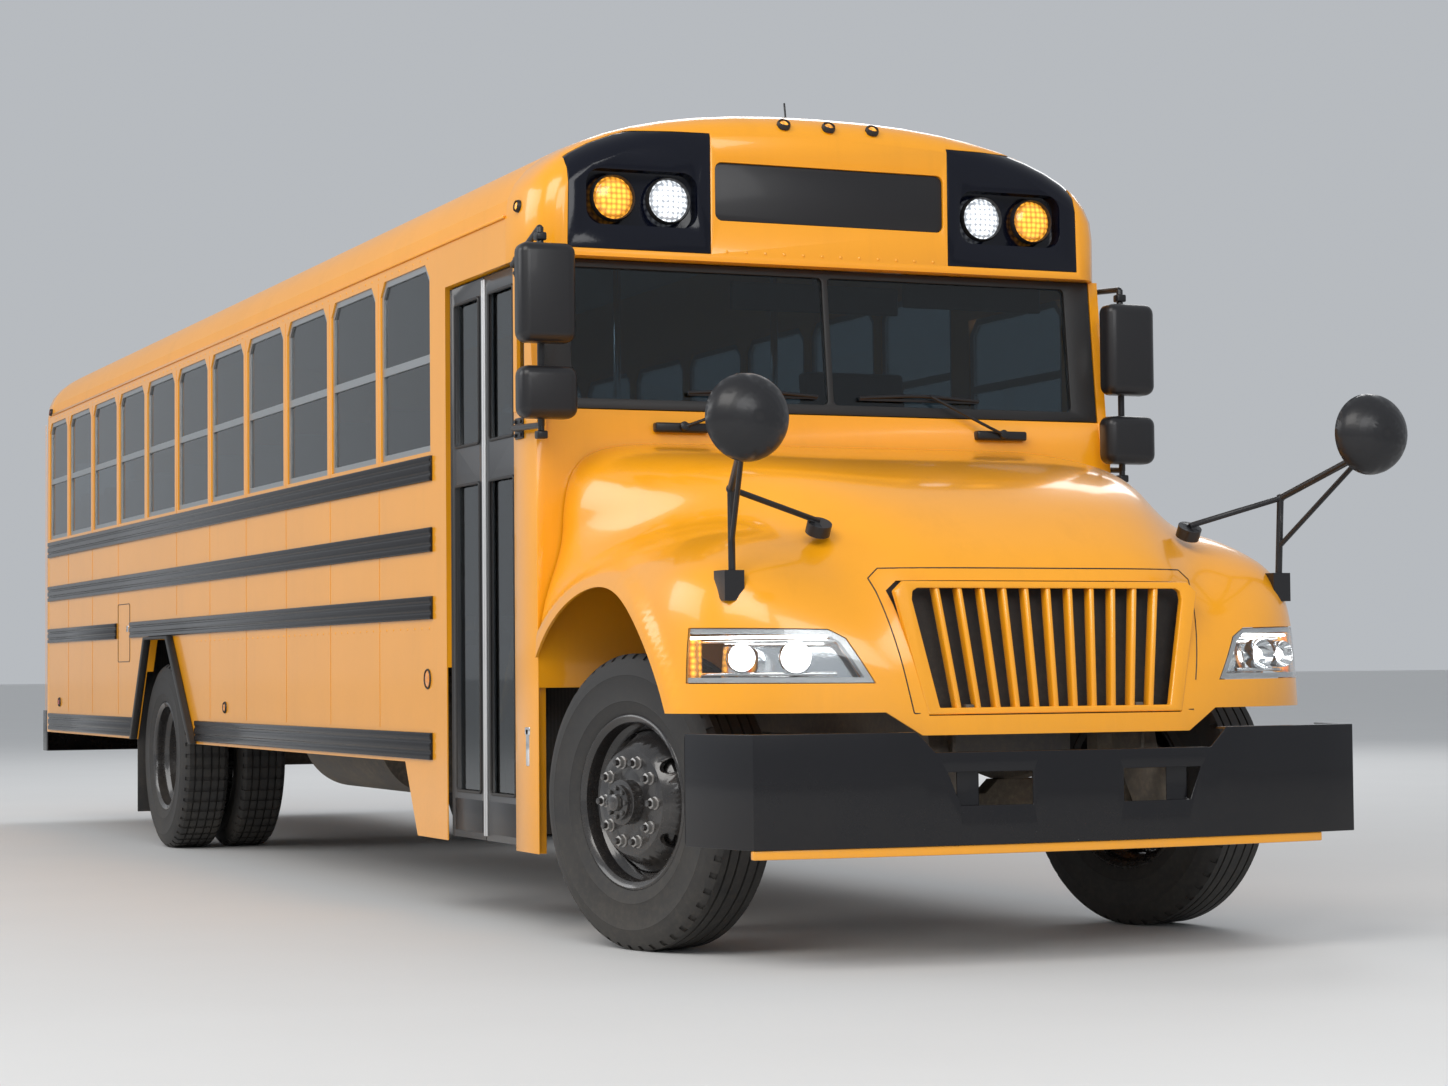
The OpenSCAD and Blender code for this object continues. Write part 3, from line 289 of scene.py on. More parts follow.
def mapRange(tree, value, low, high, toLow=0.0, toHigh=1.0):
    node = tree.nodes.new("ShaderNodeMapRange")
    for socket, item in zip(node.inputs, (value, low, high, toLow, toHigh)):
        if isinstance(item, (int, float)):
            socket.default_value = item
        else:
            tree.links.new(item, socket)
    return node.outputs[0]


def makeToneGroup():  # slow colour drift, rain streaks and a fine orange peel
    group, given, out = newGroup("paintTone", [("Vector", "vector", None), ("Color", "colour", (0.8, 0.8, 0.8, 1)),
                                 ("Variation", "value", 0.1), ("Streaks", "value", 0.1), ("Grain Scale", "value", 60.0)],
                                 [("Color", "colour"), ("Height", "value"), ("Mask", "value")])
    vector = given.outputs["Vector"]
    drift = mathNode(group, "SUBTRACT", noise(group, vector, 1.3, 5), 0.5)
    runs = mapRange(group, noise(group, vector, 5.0, 5, 0.7, (1.0, 1.0, 0.12)), 0.52, 0.75)
    darker = mathNode(group, "ADD", mathNode(group, "MULTIPLY", drift, given.outputs["Variation"]),
                      mathNode(group, "MULTIPLY", runs, mathNode(group, "MULTIPLY", given.outputs["Streaks"], -0.5)))
    hue = group.nodes.new("ShaderNodeHueSaturation")
    group.links.new(mathNode(group, "ADD", darker, 1.0), hue.inputs["Value"])
    group.links.new(given.outputs["Color"], hue.inputs["Color"])
    peel = group.nodes.new("ShaderNodeTexNoise")
    group.links.new(vector, peel.inputs["Vector"])
    group.links.new(given.outputs["Grain Scale"], peel.inputs["Scale"])
    peel.inputs["Detail"].default_value = 3
    group.links.new(hue.outputs["Color"], out.inputs["Color"])
    group.links.new(peel.outputs["Fac"], out.inputs["Height"])
    group.links.new(runs, out.inputs["Mask"])
    return group


def makeDustGroup():  # dust and dried spray, thicker towards the ground
    group, given, out = newGroup("roadDust", [("Vector", "vector", None), ("Color", "colour", (0.8, 0.8, 0.8, 1)),
                                 ("Dust Color", "colour", (0.3, 0.25, 0.18, 1)), ("Amount", "value", 0.4),
                                 ("Top", "value", 1.2), ("Foot", "value", 0.2)],
                                 [("Color", "colour"), ("Mask", "value")])
    vector = given.outputs["Vector"]
    split = group.nodes.new("ShaderNodeSeparateXYZ")
    group.links.new(vector, split.inputs[0])
    low = mapRange(group, split.outputs["Z"], given.outputs["Top"], given.outputs["Foot"])
    patches = mapRange(group, noise(group, vector, 3.0, 7, 0.7), 0.3, 0.75)
    specks = mapRange(group, noise(group, vector, 42.0, 3, 0.7), 0.45, 0.8)
    spread = mathNode(group, "ADD", mathNode(group, "MULTIPLY", patches, 0.8), mathNode(group, "MULTIPLY", specks, 0.5))
    mask = mathNode(group, "MULTIPLY", mathNode(group, "MULTIPLY", spread, mathNode(group, "ADD", low, 0.06)),
                    given.outputs["Amount"])
    group.links.new(mixColour(group, mask, given.outputs["Color"], given.outputs["Dust Color"]), out.inputs["Color"])
    group.links.new(mask, out.inputs["Mask"])
    return group


def makeWearGroup():  # bright rubbed edges, from how sharply the surface turns
    group, given, out = newGroup("edgeWear", [("Vector", "vector", None), ("Color", "colour", (0.5, 0.5, 0.5, 1)),
                                 ("Worn Color", "colour", (0.5, 0.5, 0.5, 1)), ("Amount", "value", 0.5)],
                                 [("Color", "colour"), ("Mask", "value")])
    turn = group.nodes.new("ShaderNodeNewGeometry").outputs["Pointiness"]
    ragged = noise(group, given.outputs["Vector"], 35.0, 5, 0.7)
    mask = mathNode(group, "MULTIPLY", mapRange(group, mathNode(group, "ADD", turn, mathNode(group, "MULTIPLY", ragged, 0.06)),
                    0.56, 0.64), given.outputs["Amount"])
    group.links.new(mixColour(group, mask, given.outputs["Color"], given.outputs["Worn Color"]), out.inputs["Color"])
    group.links.new(mask, out.inputs["Mask"])
    return group


def makeLeatherGroup():  # small cells of a pressed grain
    group, given, out = newGroup("pressedGrain", [("Vector", "vector", None), ("Scale", "value", 160.0)],
                                 [("Height", "value")])
    cells = group.nodes.new("ShaderNodeTexVoronoi")
    cells.feature = "DISTANCE_TO_EDGE"
    group.links.new(given.outputs["Vector"], cells.inputs["Vector"])
    group.links.new(given.outputs["Scale"], cells.inputs["Scale"])
    group.links.new(mapRange(group, cells.outputs["Distance"], 0.0, 0.25), out.inputs["Height"])
    return group


groups = {"tone": makeToneGroup(), "dust": makeDustGroup(), "wear": makeWearGroup(), "leather": makeLeatherGroup()}


def useGroup(tree, kind, links, values):
    node = tree.nodes.new("ShaderNodeGroup")
    node.node_tree = groups[kind]
    for label, source in links.items():
        tree.links.new(source, node.inputs[label])
    for label, value in values.items():
        node.inputs[label].default_value = (*value, 1) if isinstance(value, tuple) else value
    return node


def finish(name, colour, roughness, metallic=0.0, coat=0.0, variation=0.12, streaks=0.0, grain=90.0, bump=0.0004,
           dust=0.3, dustTop=1.3, dustFoot=0.1, dustColour=(0.33, 0.26, 0.18), worn=None, leather=0.0, second=None,
           waves=0.0, shaderValues=None):
    material = bpy.data.materials.new(name)
    material.use_nodes = True
    tree = material.node_tree
    shader = tree.nodes["Principled BSDF"]
    vector = tree.nodes.new("ShaderNodeTexCoord").outputs["Object"]
    base = second(tree, vector, colour) if second else None
    tone = useGroup(tree, "tone", {"Vector": vector, **({"Color": base} if base else {})},
                    {**({} if base else {"Color": colour}), "Variation": variation, "Streaks": streaks, "Grain Scale": grain})
    tint = tone.outputs["Color"]
    if worn:
        tint = useGroup(tree, "wear", {"Vector": vector, "Color": tint}, {"Worn Color": worn, "Amount": 0.5}).outputs["Color"]
    spray = useGroup(tree, "dust", {"Vector": vector, "Color": tint},
                     {"Dust Color": dustColour, "Amount": dust, "Top": dustTop, "Foot": dustFoot})
    tree.links.new(spray.outputs["Color"], shader.inputs["Base Color"])
    tree.links.new(mapRange(tree, spray.outputs["Mask"], 0.0, 0.8, roughness, min(1.0, roughness + 0.5)),
                   shader.inputs["Roughness"])
    relief = tree.nodes.new("ShaderNodeBump")
    relief.inputs["Strength"].default_value = 0.5
    relief.inputs["Distance"].default_value = bump
    if leather:
        cells = useGroup(tree, "leather", {"Vector": vector}, {"Scale": leather})
        tree.links.new(cells.outputs["Height"], relief.inputs["Height"])
    else:
        tree.links.new(tone.outputs["Height"], relief.inputs["Height"])
    if waves:  # sheet metal is never quite flat
        ripple = tree.nodes.new("ShaderNodeBump")
        ripple.inputs["Strength"].default_value = 0.35
        ripple.inputs["Distance"].default_value = waves
        tree.links.new(noise(tree, vector, 3.2, 2, 0.4, (1.0, 1.0, 1.8)), ripple.inputs["Height"])
        tree.links.new(ripple.outputs["Normal"], relief.inputs["Normal"])
    tree.links.new(relief.outputs["Normal"], shader.inputs["Normal"])
    shader.inputs["Metallic"].default_value = metallic
    shader.inputs["Coat Weight"].default_value = coat
    shader.inputs["Coat Roughness"].default_value = 0.08
    for label, value in (shaderValues or {}).items():
        shader.inputs[label].default_value = value
    return material


def whiteCrown(tree, vector, colour):  # the roof is white between its yellow edges
    split = tree.nodes.new("ShaderNodeSeparateXYZ")
    tree.links.new(vector, split.inputs[0])
    mask = mapRange(tree, mathNode(tree, "ABSOLUTE", split.outputs["Y"], 0.0), 0.905, 0.9)
    return mixColour(tree, mask, colour, (0.60, 0.595, 0.57))


# darker bands across the floor covering: painted shade between its ribs
def floorRibShade(tree, vector, colour):
    wave = tree.nodes.new("ShaderNodeTexWave")
    wave.bands_direction = "Y"
    wave.inputs["Scale"].default_value = 22.0
    tree.links.new(vector, wave.inputs["Vector"])
    return mixColour(tree, wave.outputs["Fac"], colour, tuple(c * 0.55 for c in colour))


yellow = (0.93, 0.375, 0.006)
materials = {
    "yellow_paint": finish("yellowPaint", yellow, 0.28, coat=0.6, variation=0.16, streaks=0.10, grain=140.0, bump=0.0003,
                           dust=0.16, dustTop=1.1, waves=0.004),
    "roofPaint": finish("roofPaint", yellow, 0.42, coat=0.3, variation=0.14, streaks=0.1, dust=0.1, second=whiteCrown, waves=0.003),
    "black_paint": finish("blackPaint", (0.008, 0.008, 0.010), 0.24, coat=0.2, dust=0.03, dustTop=0.7, waves=0.002,
                          shaderValues={"Specular IOR Level": 0.25}),
    "chassis_black": finish("chassisBlack", (0.022, 0.021, 0.020), 0.55, dust=0.75, dustTop=1.4, worn=(0.10, 0.09, 0.08)),
    "wheel_black": finish("wheelBlack", (0.014, 0.014, 0.016), 0.24, coat=0.6, dust=0.14, dustTop=1.0, worn=(0.10, 0.10, 0.10)),
    "tyre_rubber": finish("tyreRubber", (0.020, 0.020, 0.021), 0.66, grain=420.0, bump=0.0006, dust=0.26, dustTop=1.1,
                          dustFoot=0.0, dustColour=(0.20, 0.17, 0.13)),
    "rubber": finish("trimRubber", (0.012, 0.012, 0.013), 0.48, grain=260.0, dust=0.12),
    "engine_iron": finish("engineIron", (0.09, 0.09, 0.095), 0.6, metallic=0.4, dust=0.7, dustTop=1.6, grain=120.0, bump=0.001),
    "exhaust_steel": finish("exhaustSteel", (0.32, 0.27, 0.22), 0.45, metallic=0.85, dust=0.6, variation=0.5),
    "floor_covering": finish("floorCovering", (0.045, 0.045, 0.048), 0.65, dust=0.3, dustTop=1.2, second=floorRibShade),
    "black_plastic": finish("blackPlastic", (0.014, 0.014, 0.016), 0.34, grain=300.0, bump=0.0004, dust=0.03, coat=0.1,
                            shaderValues={"Specular IOR Level": 0.35}),
    "lamp_panel": finish("lampPanel", (0.003, 0.004, 0.010), 0.12, coat=0.15, dust=0.01,
                         shaderValues={"Specular IOR Level": 0.25}),
    "sash_aluminium": finish("sashAluminium", (0.42, 0.44, 0.45), 0.36, metallic=0.85, variation=0.2, dust=0.15),
    "seat_vinyl": finish("seatVinyl", (0.030, 0.050, 0.085), 0.48, leather=190.0, bump=0.0009, dust=0.05,
                         shaderValues={"Sheen Weight": 0.15}),
    "door_charcoal": finish("doorCharcoal", (0.026, 0.027, 0.030), 0.32, coat=0.3, dust=0.14, dustTop=1.0),
    "sign_red": finish("signRed", (0.55, 0.012, 0.014), 0.34, coat=0.4, dust=0.05),
    "hatch_white": finish("hatchWhite", (0.72, 0.72, 0.70), 0.35, dust=0.15, dustTop=4.0),
    "chrome": finish("chromePlate", (0.82, 0.83, 0.84), 0.10, metallic=1.0, dust=0.08),
    "brightStrip": finish("brightStrip", (0.62, 0.63, 0.64), 0.34, metallic=0.3, dust=0.12),
    "mirrorGlass": finish("mirrorGlass", (0.80, 0.82, 0.83), 0.03, metallic=1.0, variation=0.02, dust=0.03, bump=0.00001),
}


def clearMaterial(name, colour, roughness, dust, ior=1.45, bump=0.00002):
    material = finish(name, colour, roughness, dust=dust, dustTop=3.6, dustFoot=0.4, variation=0.05, grain=8.0, bump=bump)
    shader = material.node_tree.nodes["Principled BSDF"]
    shader.inputs["Transmission Weight"].default_value = 1.0
    shader.inputs["IOR"].default_value = ior
    return material


def litMaterial(name, colour, glow, strength, between=0.12):  # rows of small bright diodes behind a lens
    material = finish(name, colour, 0.18, coat=0.7, dust=0.05, variation=0.1)
    tree = material.node_tree
    shader = tree.nodes["Principled BSDF"]
    cells = tree.nodes.new("ShaderNodeTexVoronoi")
    cells.inputs["Scale"].default_value = 48.0
    cells.inputs["Randomness"].default_value = 0.15
    tree.links.new(tree.nodes.new("ShaderNodeTexCoord").outputs["Object"], cells.inputs["Vector"])
    spots = mapRange(tree, cells.outputs["Distance"], 0.62, 0.1)
    tree.links.new(mixColour(tree, spots, tuple(c * between for c in glow), glow), shader.inputs["Emission Color"])
    shader.inputs["Emission Strength"].default_value = strength
    return material


materials.update({
    "window_glass": clearMaterial("windowGlass", (0.17, 0.22, 0.25), 0.02, 0.04),
    "headlamp_lens": clearMaterial("clearLens", (0.93, 0.95, 0.96), 0.02, 0.04),
    "amberLit": litMaterial("amberLit", (0.60, 0.22, 0.02), (1.0, 0.42, 0.04), 2.4),
    "whiteLit": litMaterial("whiteLit", (0.16, 0.18, 0.22), (0.90, 0.95, 1.0), 3.0),
    "redDark": litMaterial("redLens", (0.45, 0.01, 0.01), (0.9, 0.02, 0.02), 0.12),
    "amberDark": litMaterial("amberLens", (0.75, 0.25, 0.01), (1.0, 0.35, 0.02), 0.25),
    "headLit": litMaterial("headLit", (0.9, 0.92, 0.95), (1.0, 0.98, 0.95), 9.0, 0.55),
})
materials["lamp_lens"] = materials["amberLit"]
print("materials made:", len(materials))

# ---- CAD nodes: those with curves or edges that show get a smoothed and bevelled copy ----
bodyOf = {node: body for body, nodes in frame["record"]["behaviour"]["bodies"].items() for node in nodes}
slotOf = {part["node"]: part["material_slot"] for part in frame["record"]["subparts"]}
for node, piece in frame["nodes"].items():
    piece.data.materials.clear()
    piece.data.materials.append(materials[slotOf[node]])


def shapedCopy(node, bevel=0.0, segments=2, angle=32, material=None, bevelAngle=32):
    source = frame["nodes"][node]
    piece = bpy.data.objects.new(node + "_shell", source.data.copy())
    bpy.context.collection.objects.link(piece)
    activate(piece)
    bpy.ops.object.mode_set(mode="EDIT")
    bpy.ops.mesh.select_all(action="SELECT")
    bpy.ops.mesh.remove_doubles(threshold=0.00005)
    bpy.ops.mesh.dissolve_limited(angle_limit=math.radians(0.4))
    bpy.ops.object.mode_set(mode="OBJECT")
    if bevel:
        addBevel(piece, bevel, segments, bevelAngle)
    settle(piece, bodyOf[node], materials[material or slotOf[node]], angle)
    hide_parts(node)
    return piece


shells = {  # node: (bevel in m, bevel segments, smoothing angle)
    "front_bumper": (0.005, 3, 30), "bumper_strip": (0.004, 2, 30), "rear_bumper": (0.006, 2, 30),
    "cowl": (0.006, 2, 30), "left_side_wall": (0.0, 2, 30), "right_side_wall": (0.0, 2, 30),
    "front_cap": (0.004, 2, 40), "rear_wall": (0.004, 2, 35), "windshield_frame": (0.005, 2, 35),
    "rub_rails": (0.0015, 2, 30), "arch_trims": (0.006, 2, 30), "lamp_panels": (0.004, 2, 35),
    "destination_sign": (0.002, 2, 30), "dashboard": (0.004, 2, 35),
    "crossview_mirrors": (0.0, 2, 35), "front_door_leaf": (0.003, 2, 30),
    "rear_door_leaf": (0.003, 2, 30), "rear_door": (0.004, 2, 30), "stop_arm": (0.0015, 2, 30),
    "roof_hatches": (0.012, 3, 35), "fuel_tank": (0.02, 3, 35), "exhaust_pipe": (0.003, 2, 35),
    "drive_shaft": (0.003, 2, 35), "front_axle": (0.006, 2, 32), "rear_axle": (0.006, 2, 32),
    "left_knuckle": (0.004, 2, 32), "right_knuckle": (0.004, 2, 32), "leaf_springs": (0.003, 2, 30),
    "engine_block": (0.012, 2, 30), "side_window_frames": (0.0, 2, 30), "step_well": (0.004, 2, 30),
    "front_left_wheel": (0.0015, 2, 30), "front_right_wheel": (0.0015, 2, 30),
    "rear_left_wheels": (0.0015, 2, 30), "rear_right_wheels": (0.0015, 2, 30), "roof": (0.0, 2, 30),
    "mud_flaps": (0.002, 2, 30), "radiator": (0.006, 2, 30),
}
for node, (bevel, segments, angle) in shells.items():
    shapedCopy(node, bevel, segments, angle, "roofPaint" if node == "roof" else None)
print("shells made:", len(shells))


# ---- hood: one smooth shell, its points found along rays from a point low in the back ----
hood = {"rings": 120, "spokes": 170, "skin": 10, "flareWidth": 82, "flareHeight": 15, "archRadius": 735,
        "back": -606, "foot": 752}


def smoothMin(a, b, k):
    h = np.maximum(k - np.abs(a - b), 0) / k
    return np.minimum(a, b) - h * h * k / 4


def roundNorm(u, v, power):
    return (np.abs(u) ** power + np.abs(v) ** power) ** (1 / power)


def hoodField(x, y, z):  # millimetres from the front axle
    s = np.clip((x + 600) / 1630, 0, 1.05)
    wide = 1219 - 94 - 515 * s ** 1.3
    tall = 1070 - 200 * s - 341 * s ** 5
    above = np.maximum(0, z - 750)
    dome = (roundNorm(y / wide, above / tall, 10 - 6 * s) - 1) * np.minimum(wide, tall)
    high = 760 * (1 - (np.abs(x + 50) / 1250) ** 4)
    fender = (roundNorm(y / 1219, above / high, 5) - 1) * high
    reach = 1092 - 0.12 * (z - 830)
    nose = (roundNorm(np.maximum(0, x) / reach, y / 1330, 3.2) - 1) * reach
    return -smoothMin(-smoothMin(dome, fender, 90), -nose, 100)


def shellPoint(along, low, high, level, start):
    for _ in range(22):
        middle = (low + high) / 2
        inside = hoodField(*(start[:, None] + along * middle)) < level
        low, high = np.where(inside, middle, low), np.where(inside, high, middle)
    return start[:, None] + along * (low + high) / 2


def noseAt(y, z, level=0.0):  # x of the hood's face at y and z, in metres of the bus's frame
    along = np.array([[1.0], [0.0], [0.0]])
    place = shellPoint(along, np.zeros(1), np.full(1, 1400.0), level, np.array([0.0, y * 1000, z * 1000]))
    return axleX + float(place[0, 0]) * mm


def hoodShell(name, level, skin, flare=False):
    clearSelection()
    bpy.ops.mesh.primitive_grid_add(x_subdivisions=hood["rings"], y_subdivisions=hood["spokes"], size=2)
    piece = bpy.context.object
    piece.name = name
    flat = np.zeros(len(piece.data.vertices) * 3)
    piece.data.vertices.foreach_get("co", flat)
    u, v = flat.reshape(-1, 3)[:, 0], flat.reshape(-1, 3)[:, 1]
    lift, round_ = np.radians(45 * (u + 1)), np.radians(90 * (v + 1))
    along = np.array([np.cos(lift), np.sin(lift) * np.cos(round_), np.sin(lift) * np.sin(round_)])
    x, y, z = shellPoint(along, np.zeros(len(u)), np.full(len(u), 2400.0), level, np.array([-650.0, 0.0, 700.0]))
    if flare:  # raised lip round the wheel arches
        away = np.hypot(x + 60, z - 530) - hood["archRadius"]
        edge = np.clip((hood["flareWidth"] - away) / 22, 0, 1)
        edge = edge * edge * (3 - 2 * edge)
        y = y + np.sign(y) * hood["flareHeight"] * edge * np.clip((np.abs(y) - 760) / 200, 0, 1)
    piece.data.vertices.foreach_set("co", np.stack([x * mm + axleX, y * mm, z * mm], 1).ravel())
    bpy.ops.object.mode_set(mode="EDIT")
    bpy.ops.mesh.select_all(action="SELECT")
    bpy.ops.mesh.remove_doubles(threshold=1e-5)
    bpy.ops.object.mode_set(mode="OBJECT")
    middle = Vector((axleX, 0, 0.9))
    if sum((face.center - middle).dot(face.normal) * face.area for face in piece.data.polygons) < 0:
        bpy.ops.object.mode_set(mode="EDIT")
        bpy.ops.mesh.select_all(action="SELECT")
        bpy.ops.mesh.flip_normals()
        bpy.ops.object.mode_set(mode="OBJECT")
    for place, normal in (((axleX + hood["back"] * mm, 0, 0), (-1, 0, 0)), ((0, 0, hood["foot"] * mm), (0, 0, -1))):
        bpy.ops.object.mode_set(mode="EDIT")
        bpy.ops.mesh.select_all(action="SELECT")
        bpy.ops.mesh.bisect(plane_co=place, plane_no=normal, clear_outer=True)
        bpy.ops.object.mode_set(mode="OBJECT")
    applyModifier(piece, "SOLIDIFY", thickness=skin * mm, offset=-1)
    return piece


def outlineAt(points, grow=0.0):
    return [((y + math.copysign(grow, y)) * mm, (z + (grow if z > 1000 else -grow)) * mm) for y, z in points]


grilleOutline = [(-477, 815), (477, 815), (560, 1180), (572, 1225), (535, 1258), (-535, 1258), (-572, 1225), (-560, 1180)]
lampOutline = [(1300, 1112), (790, 1100), (735, 1070), (650, 922), (1300, 926)]


def mirrored(points, side):
    return [(side * y, z) for y, z in points]


def lampPrism(side, inset, low=700, high=1250):
    (a, b), (c, d), (e, f), (g, h), (i, j) = lampOutline
    points = [(a, b - inset), (c, d - inset), (e + inset, f - inset * 0.7), (g + 1.8 * inset, h + inset), (i, j + inset)]
    return prism("lampCut", [(y * mm, z * mm) for y, z in mirrored(points, side)], axleX + low * mm, axleX + high * mm)


def addHood():
    shell = hoodShell("hoodShell", 0.0, hood["skin"], flare=True)
    arches = []
    for side in (1, -1):
        clearSelection()
        bpy.ops.mesh.primitive_cylinder_add(vertices=160, radius=hood["archRadius"] * mm, depth=0.54,
                                            location=(axleX - 0.060, side * 1.01, 0.530), rotation=(math.pi / 2, 0, 0))
        arches.append(bpy.context.object)
        applyPlace(arches[-1])
    cut(shell, joined(arches, "archCut"))
    openings = [prism("grilleCut", outlineAt(grilleOutline), axleX + 0.8, axleX + 1.25)]
    for side in (1, -1):
        openings.append(lampPrism(side, 0))
        openings.append(prism("lipCut", [(side * y * mm, z * mm) for y, z in
                        ((490, 743), (623, 828), (1400, 828), (1400, 700), (490, 700))], axleX, axleX + 1.3))
    cut(shell, joined(openings, "noseCut"))
    cut(shell, prism("skirtCut", [(-1.4, 0.6), (1.4, 0.6), (1.4, 0.9), (-1.4, 0.9)], axleX - 0.7, axleX))
    settle(shell, "hood", materials["yellow_paint"], 28)
    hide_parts("hood")
    seam = []  # dark joint line of the panel round the grille
    shape = outlineAt(grilleOutline, 42)
    for (y0, z0), (y1, z1) in zip(shape, shape[1:] + shape[:1]):
        steps = max(2, int(math.hypot(y1 - y0, z1 - z0) / 0.05))
        for i in range(steps):
            y, z = y0 + (y1 - y0) * i / steps, z0 + (z1 - z0) * i / steps
            if z > 0.80:
                seam.append((noseAt(y, z) + 0.0002, y, z))
    line = tube("grilleSeam", seam[2:] + seam[:1], 0.0022, 0.2)
    settle(line, "hood", materials["rubber"], 40)
    gasket = tube("hoodSeal", [(axleX - 0.603, y, z) for y, z in ((-1.1, 1.42), (-0.97, 1.68), (-0.5, 1.79),
                  (0.5, 1.79), (0.97, 1.68), (1.1, 1.42))], 0.009, 0.8)
    settle(gasket, "bus", materials["rubber"], 50)


grille = {"bars": 11, "footHalf": 435, "topHalf": 500, "low": 832, "high": 1236, "barWidth": 21, "barDepth": 42}


def grilleX(z):  # face of the grille at height z in mm
    return axleX + (1082 - 0.12 * (z - 817)) * mm


def addGrille():
    clearSelection()
    rim = prism("grilleRim", outlineAt(grilleOutline, -3), 0.0, 0.026)
    hole = prism("rimCut", [(y * mm, z * mm) for y, z in ((-435, 840), (435, 840), (512, 1195), (508, 1222), (490, 1232),
                 (-490, 1232), (-508, 1222), (-512, 1195))], -0.1, 0.1)
    cut(rim, hole)
    for vertex in rim.data.vertices:
        vertex.co.x += grilleX(vertex.co.z * 1000) - 0.026
    addBevel(rim, 0.006, 3, 50)
    settle(rim, "hood", materials["yellow_paint"], 35)
    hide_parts("grille")
    bars = []
    for i in range(1, grille["bars"] + 1):
        part = -1 + 2 * i / (grille["bars"] + 1)
        bar = roundedBlock("grilleBar", (-grille["barDepth"] * mm, -grille["barWidth"] * mm / 2, grille["low"] * mm),
                           (0, grille["barWidth"] * mm / 2, grille["high"] * mm), 0.0085, 3)
        for vertex in bar.data.vertices:
            share = (vertex.co.z * 1000 - grille["low"]) / (grille["high"] - grille["low"])
            vertex.co.y += part * (grille["footHalf"] + (grille["topHalf"] - grille["footHalf"]) * share) * mm
            vertex.co.x += grilleX(vertex.co.z * 1000) - 0.004
        bars.append(bar)
    settle(joined(bars, "grilleBars"), "hood", materials["yellow_paint"], 35)
    # a near-black sheet just behind the grille bars: painted shade standing for the dark cavity behind the grille
    back = prism("grilleShadeSheet", outlineAt(grilleOutline, -6), 0.0, 0.004)
    for vertex in back.data.vertices:
        vertex.co.x += grilleX(vertex.co.z * 1000) - 0.078
    settle(back, "hood", materials["screen"], 35)
    ears = []
    for side in (1, -1):
        ear = rod("grilleEar", (axleX + 1.045, side * 0.306, 0.775), (axleX + 1.045, side * 0.336, 0.775), 0.024, 24)
        arm = roundedBlock("earArm", (axleX + 1.021, side * 0.321 - 0.015, 0.775),
                           (axleX + 1.069, side * 0.321 + 0.015, 0.850), 0.003)
        ears += [ear, arm]
    settle(joined(ears, "grilleEars"), "hood", materials["chassis_black"], 35)


headlight = {"cups": ((1.040, 0.046), (0.890, 0.052)), "height": 1.008, "amber": 1.155}


def addHeadlights():
    for side, word in ((1, "left"), (-1, "right")):
        lens = hoodShell(word + "Lens", 0.0, 4)
        cut(lens, lampPrism(side, 3), "INTERSECT")
        settle(lens, "hood", materials["headlamp_lens"], 30)
        if side > 0:
            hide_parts("headlights")
        bezel = hoodShell(word + "Bezel", -5.0, 26)
        cut(bezel, lampPrism(side, 3), "INTERSECT")
        cut(bezel, lampPrism(side, 20))
        settle(bezel, "hood", materials["brightStrip"], 30)
        bowl = hoodShell(word + "Bowl", -74.0, 5)
        cut(bowl, lampPrism(side, 2), "INTERSECT")
        settle(bowl, "hood", materials["chrome"], 30)
        shelves, glows = [], []
        for z in (0.955, 1.062):  # dark shelves above and below the projectors
            shelf = tube("lampShelf", [(noseAt(side * y, z, -34), side * y, z) for y in (0.76, 0.85, 0.95, 1.05, 1.13)], 0.006)
            shelves.append(shelf)
        for y, radius in headlight["cups"]:
            cup = lathe("lampCup", [(radius, 0.0), (radius * 0.96, 0.004), (radius * 0.82, -0.012), (radius * 0.5, -0.030),
                                    (radius * 0.42, -0.032), (radius * 0.42, -0.040), (radius, -0.040)], 40, True)
            globe = lathe("lampGlobe", [(0.0, -0.008), (radius * 0.2, -0.010), (radius * 0.34, -0.016), (radius * 0.41, -0.026),
                                        (radius * 0.41, -0.034), (0.0, -0.034)], 32)
            place = Matrix.Translation((noseAt(side * y, headlight["height"], -18), side * y, headlight["height"])) \
                @ Matrix.Rotation(math.radians(14 * side), 4, "Z") @ Matrix.Rotation(math.radians(90), 4, "Y")
            for part, bin_ in ((cup, shelves), (globe, glows)):
                part.matrix_world = place
                applyPlace(part)
                bin_.append(part)
        settle(joined(shelves, word + "Reflectors"), "hood", materials["chrome"], 40)
        strip = tube("lampStrip", [(noseAt(side * y, 1.075, -16), side * y, 1.075) for y in (0.79, 0.88, 0.98, 1.08, 1.15)], 0.005)
        glows.append(strip)
        settle(joined(glows, word + "Projectors"), "hood", materials["headLit"], 40)
        marker = roundedBlock(word + "TurnLamp", (-0.03, -0.040, 0.945), (0.004, 0.040, 1.070), 0.006, 3)
        marker.location = (noseAt(side * headlight["amber"], 1.01, -16), side * headlight["amber"], 0)
        marker.rotation_euler = (0, 0, math.radians(50 * side))
        settle(marker, "hood", materials["amberLit"], 35)


# ---- wheels: a tyre with ribs and side blocks, nuts and a hub cap ----
tyre = {"radius": 515, "half": 135, "steps": 150, "groove": 12, "ribs": (-70, -29, 20, 61)}


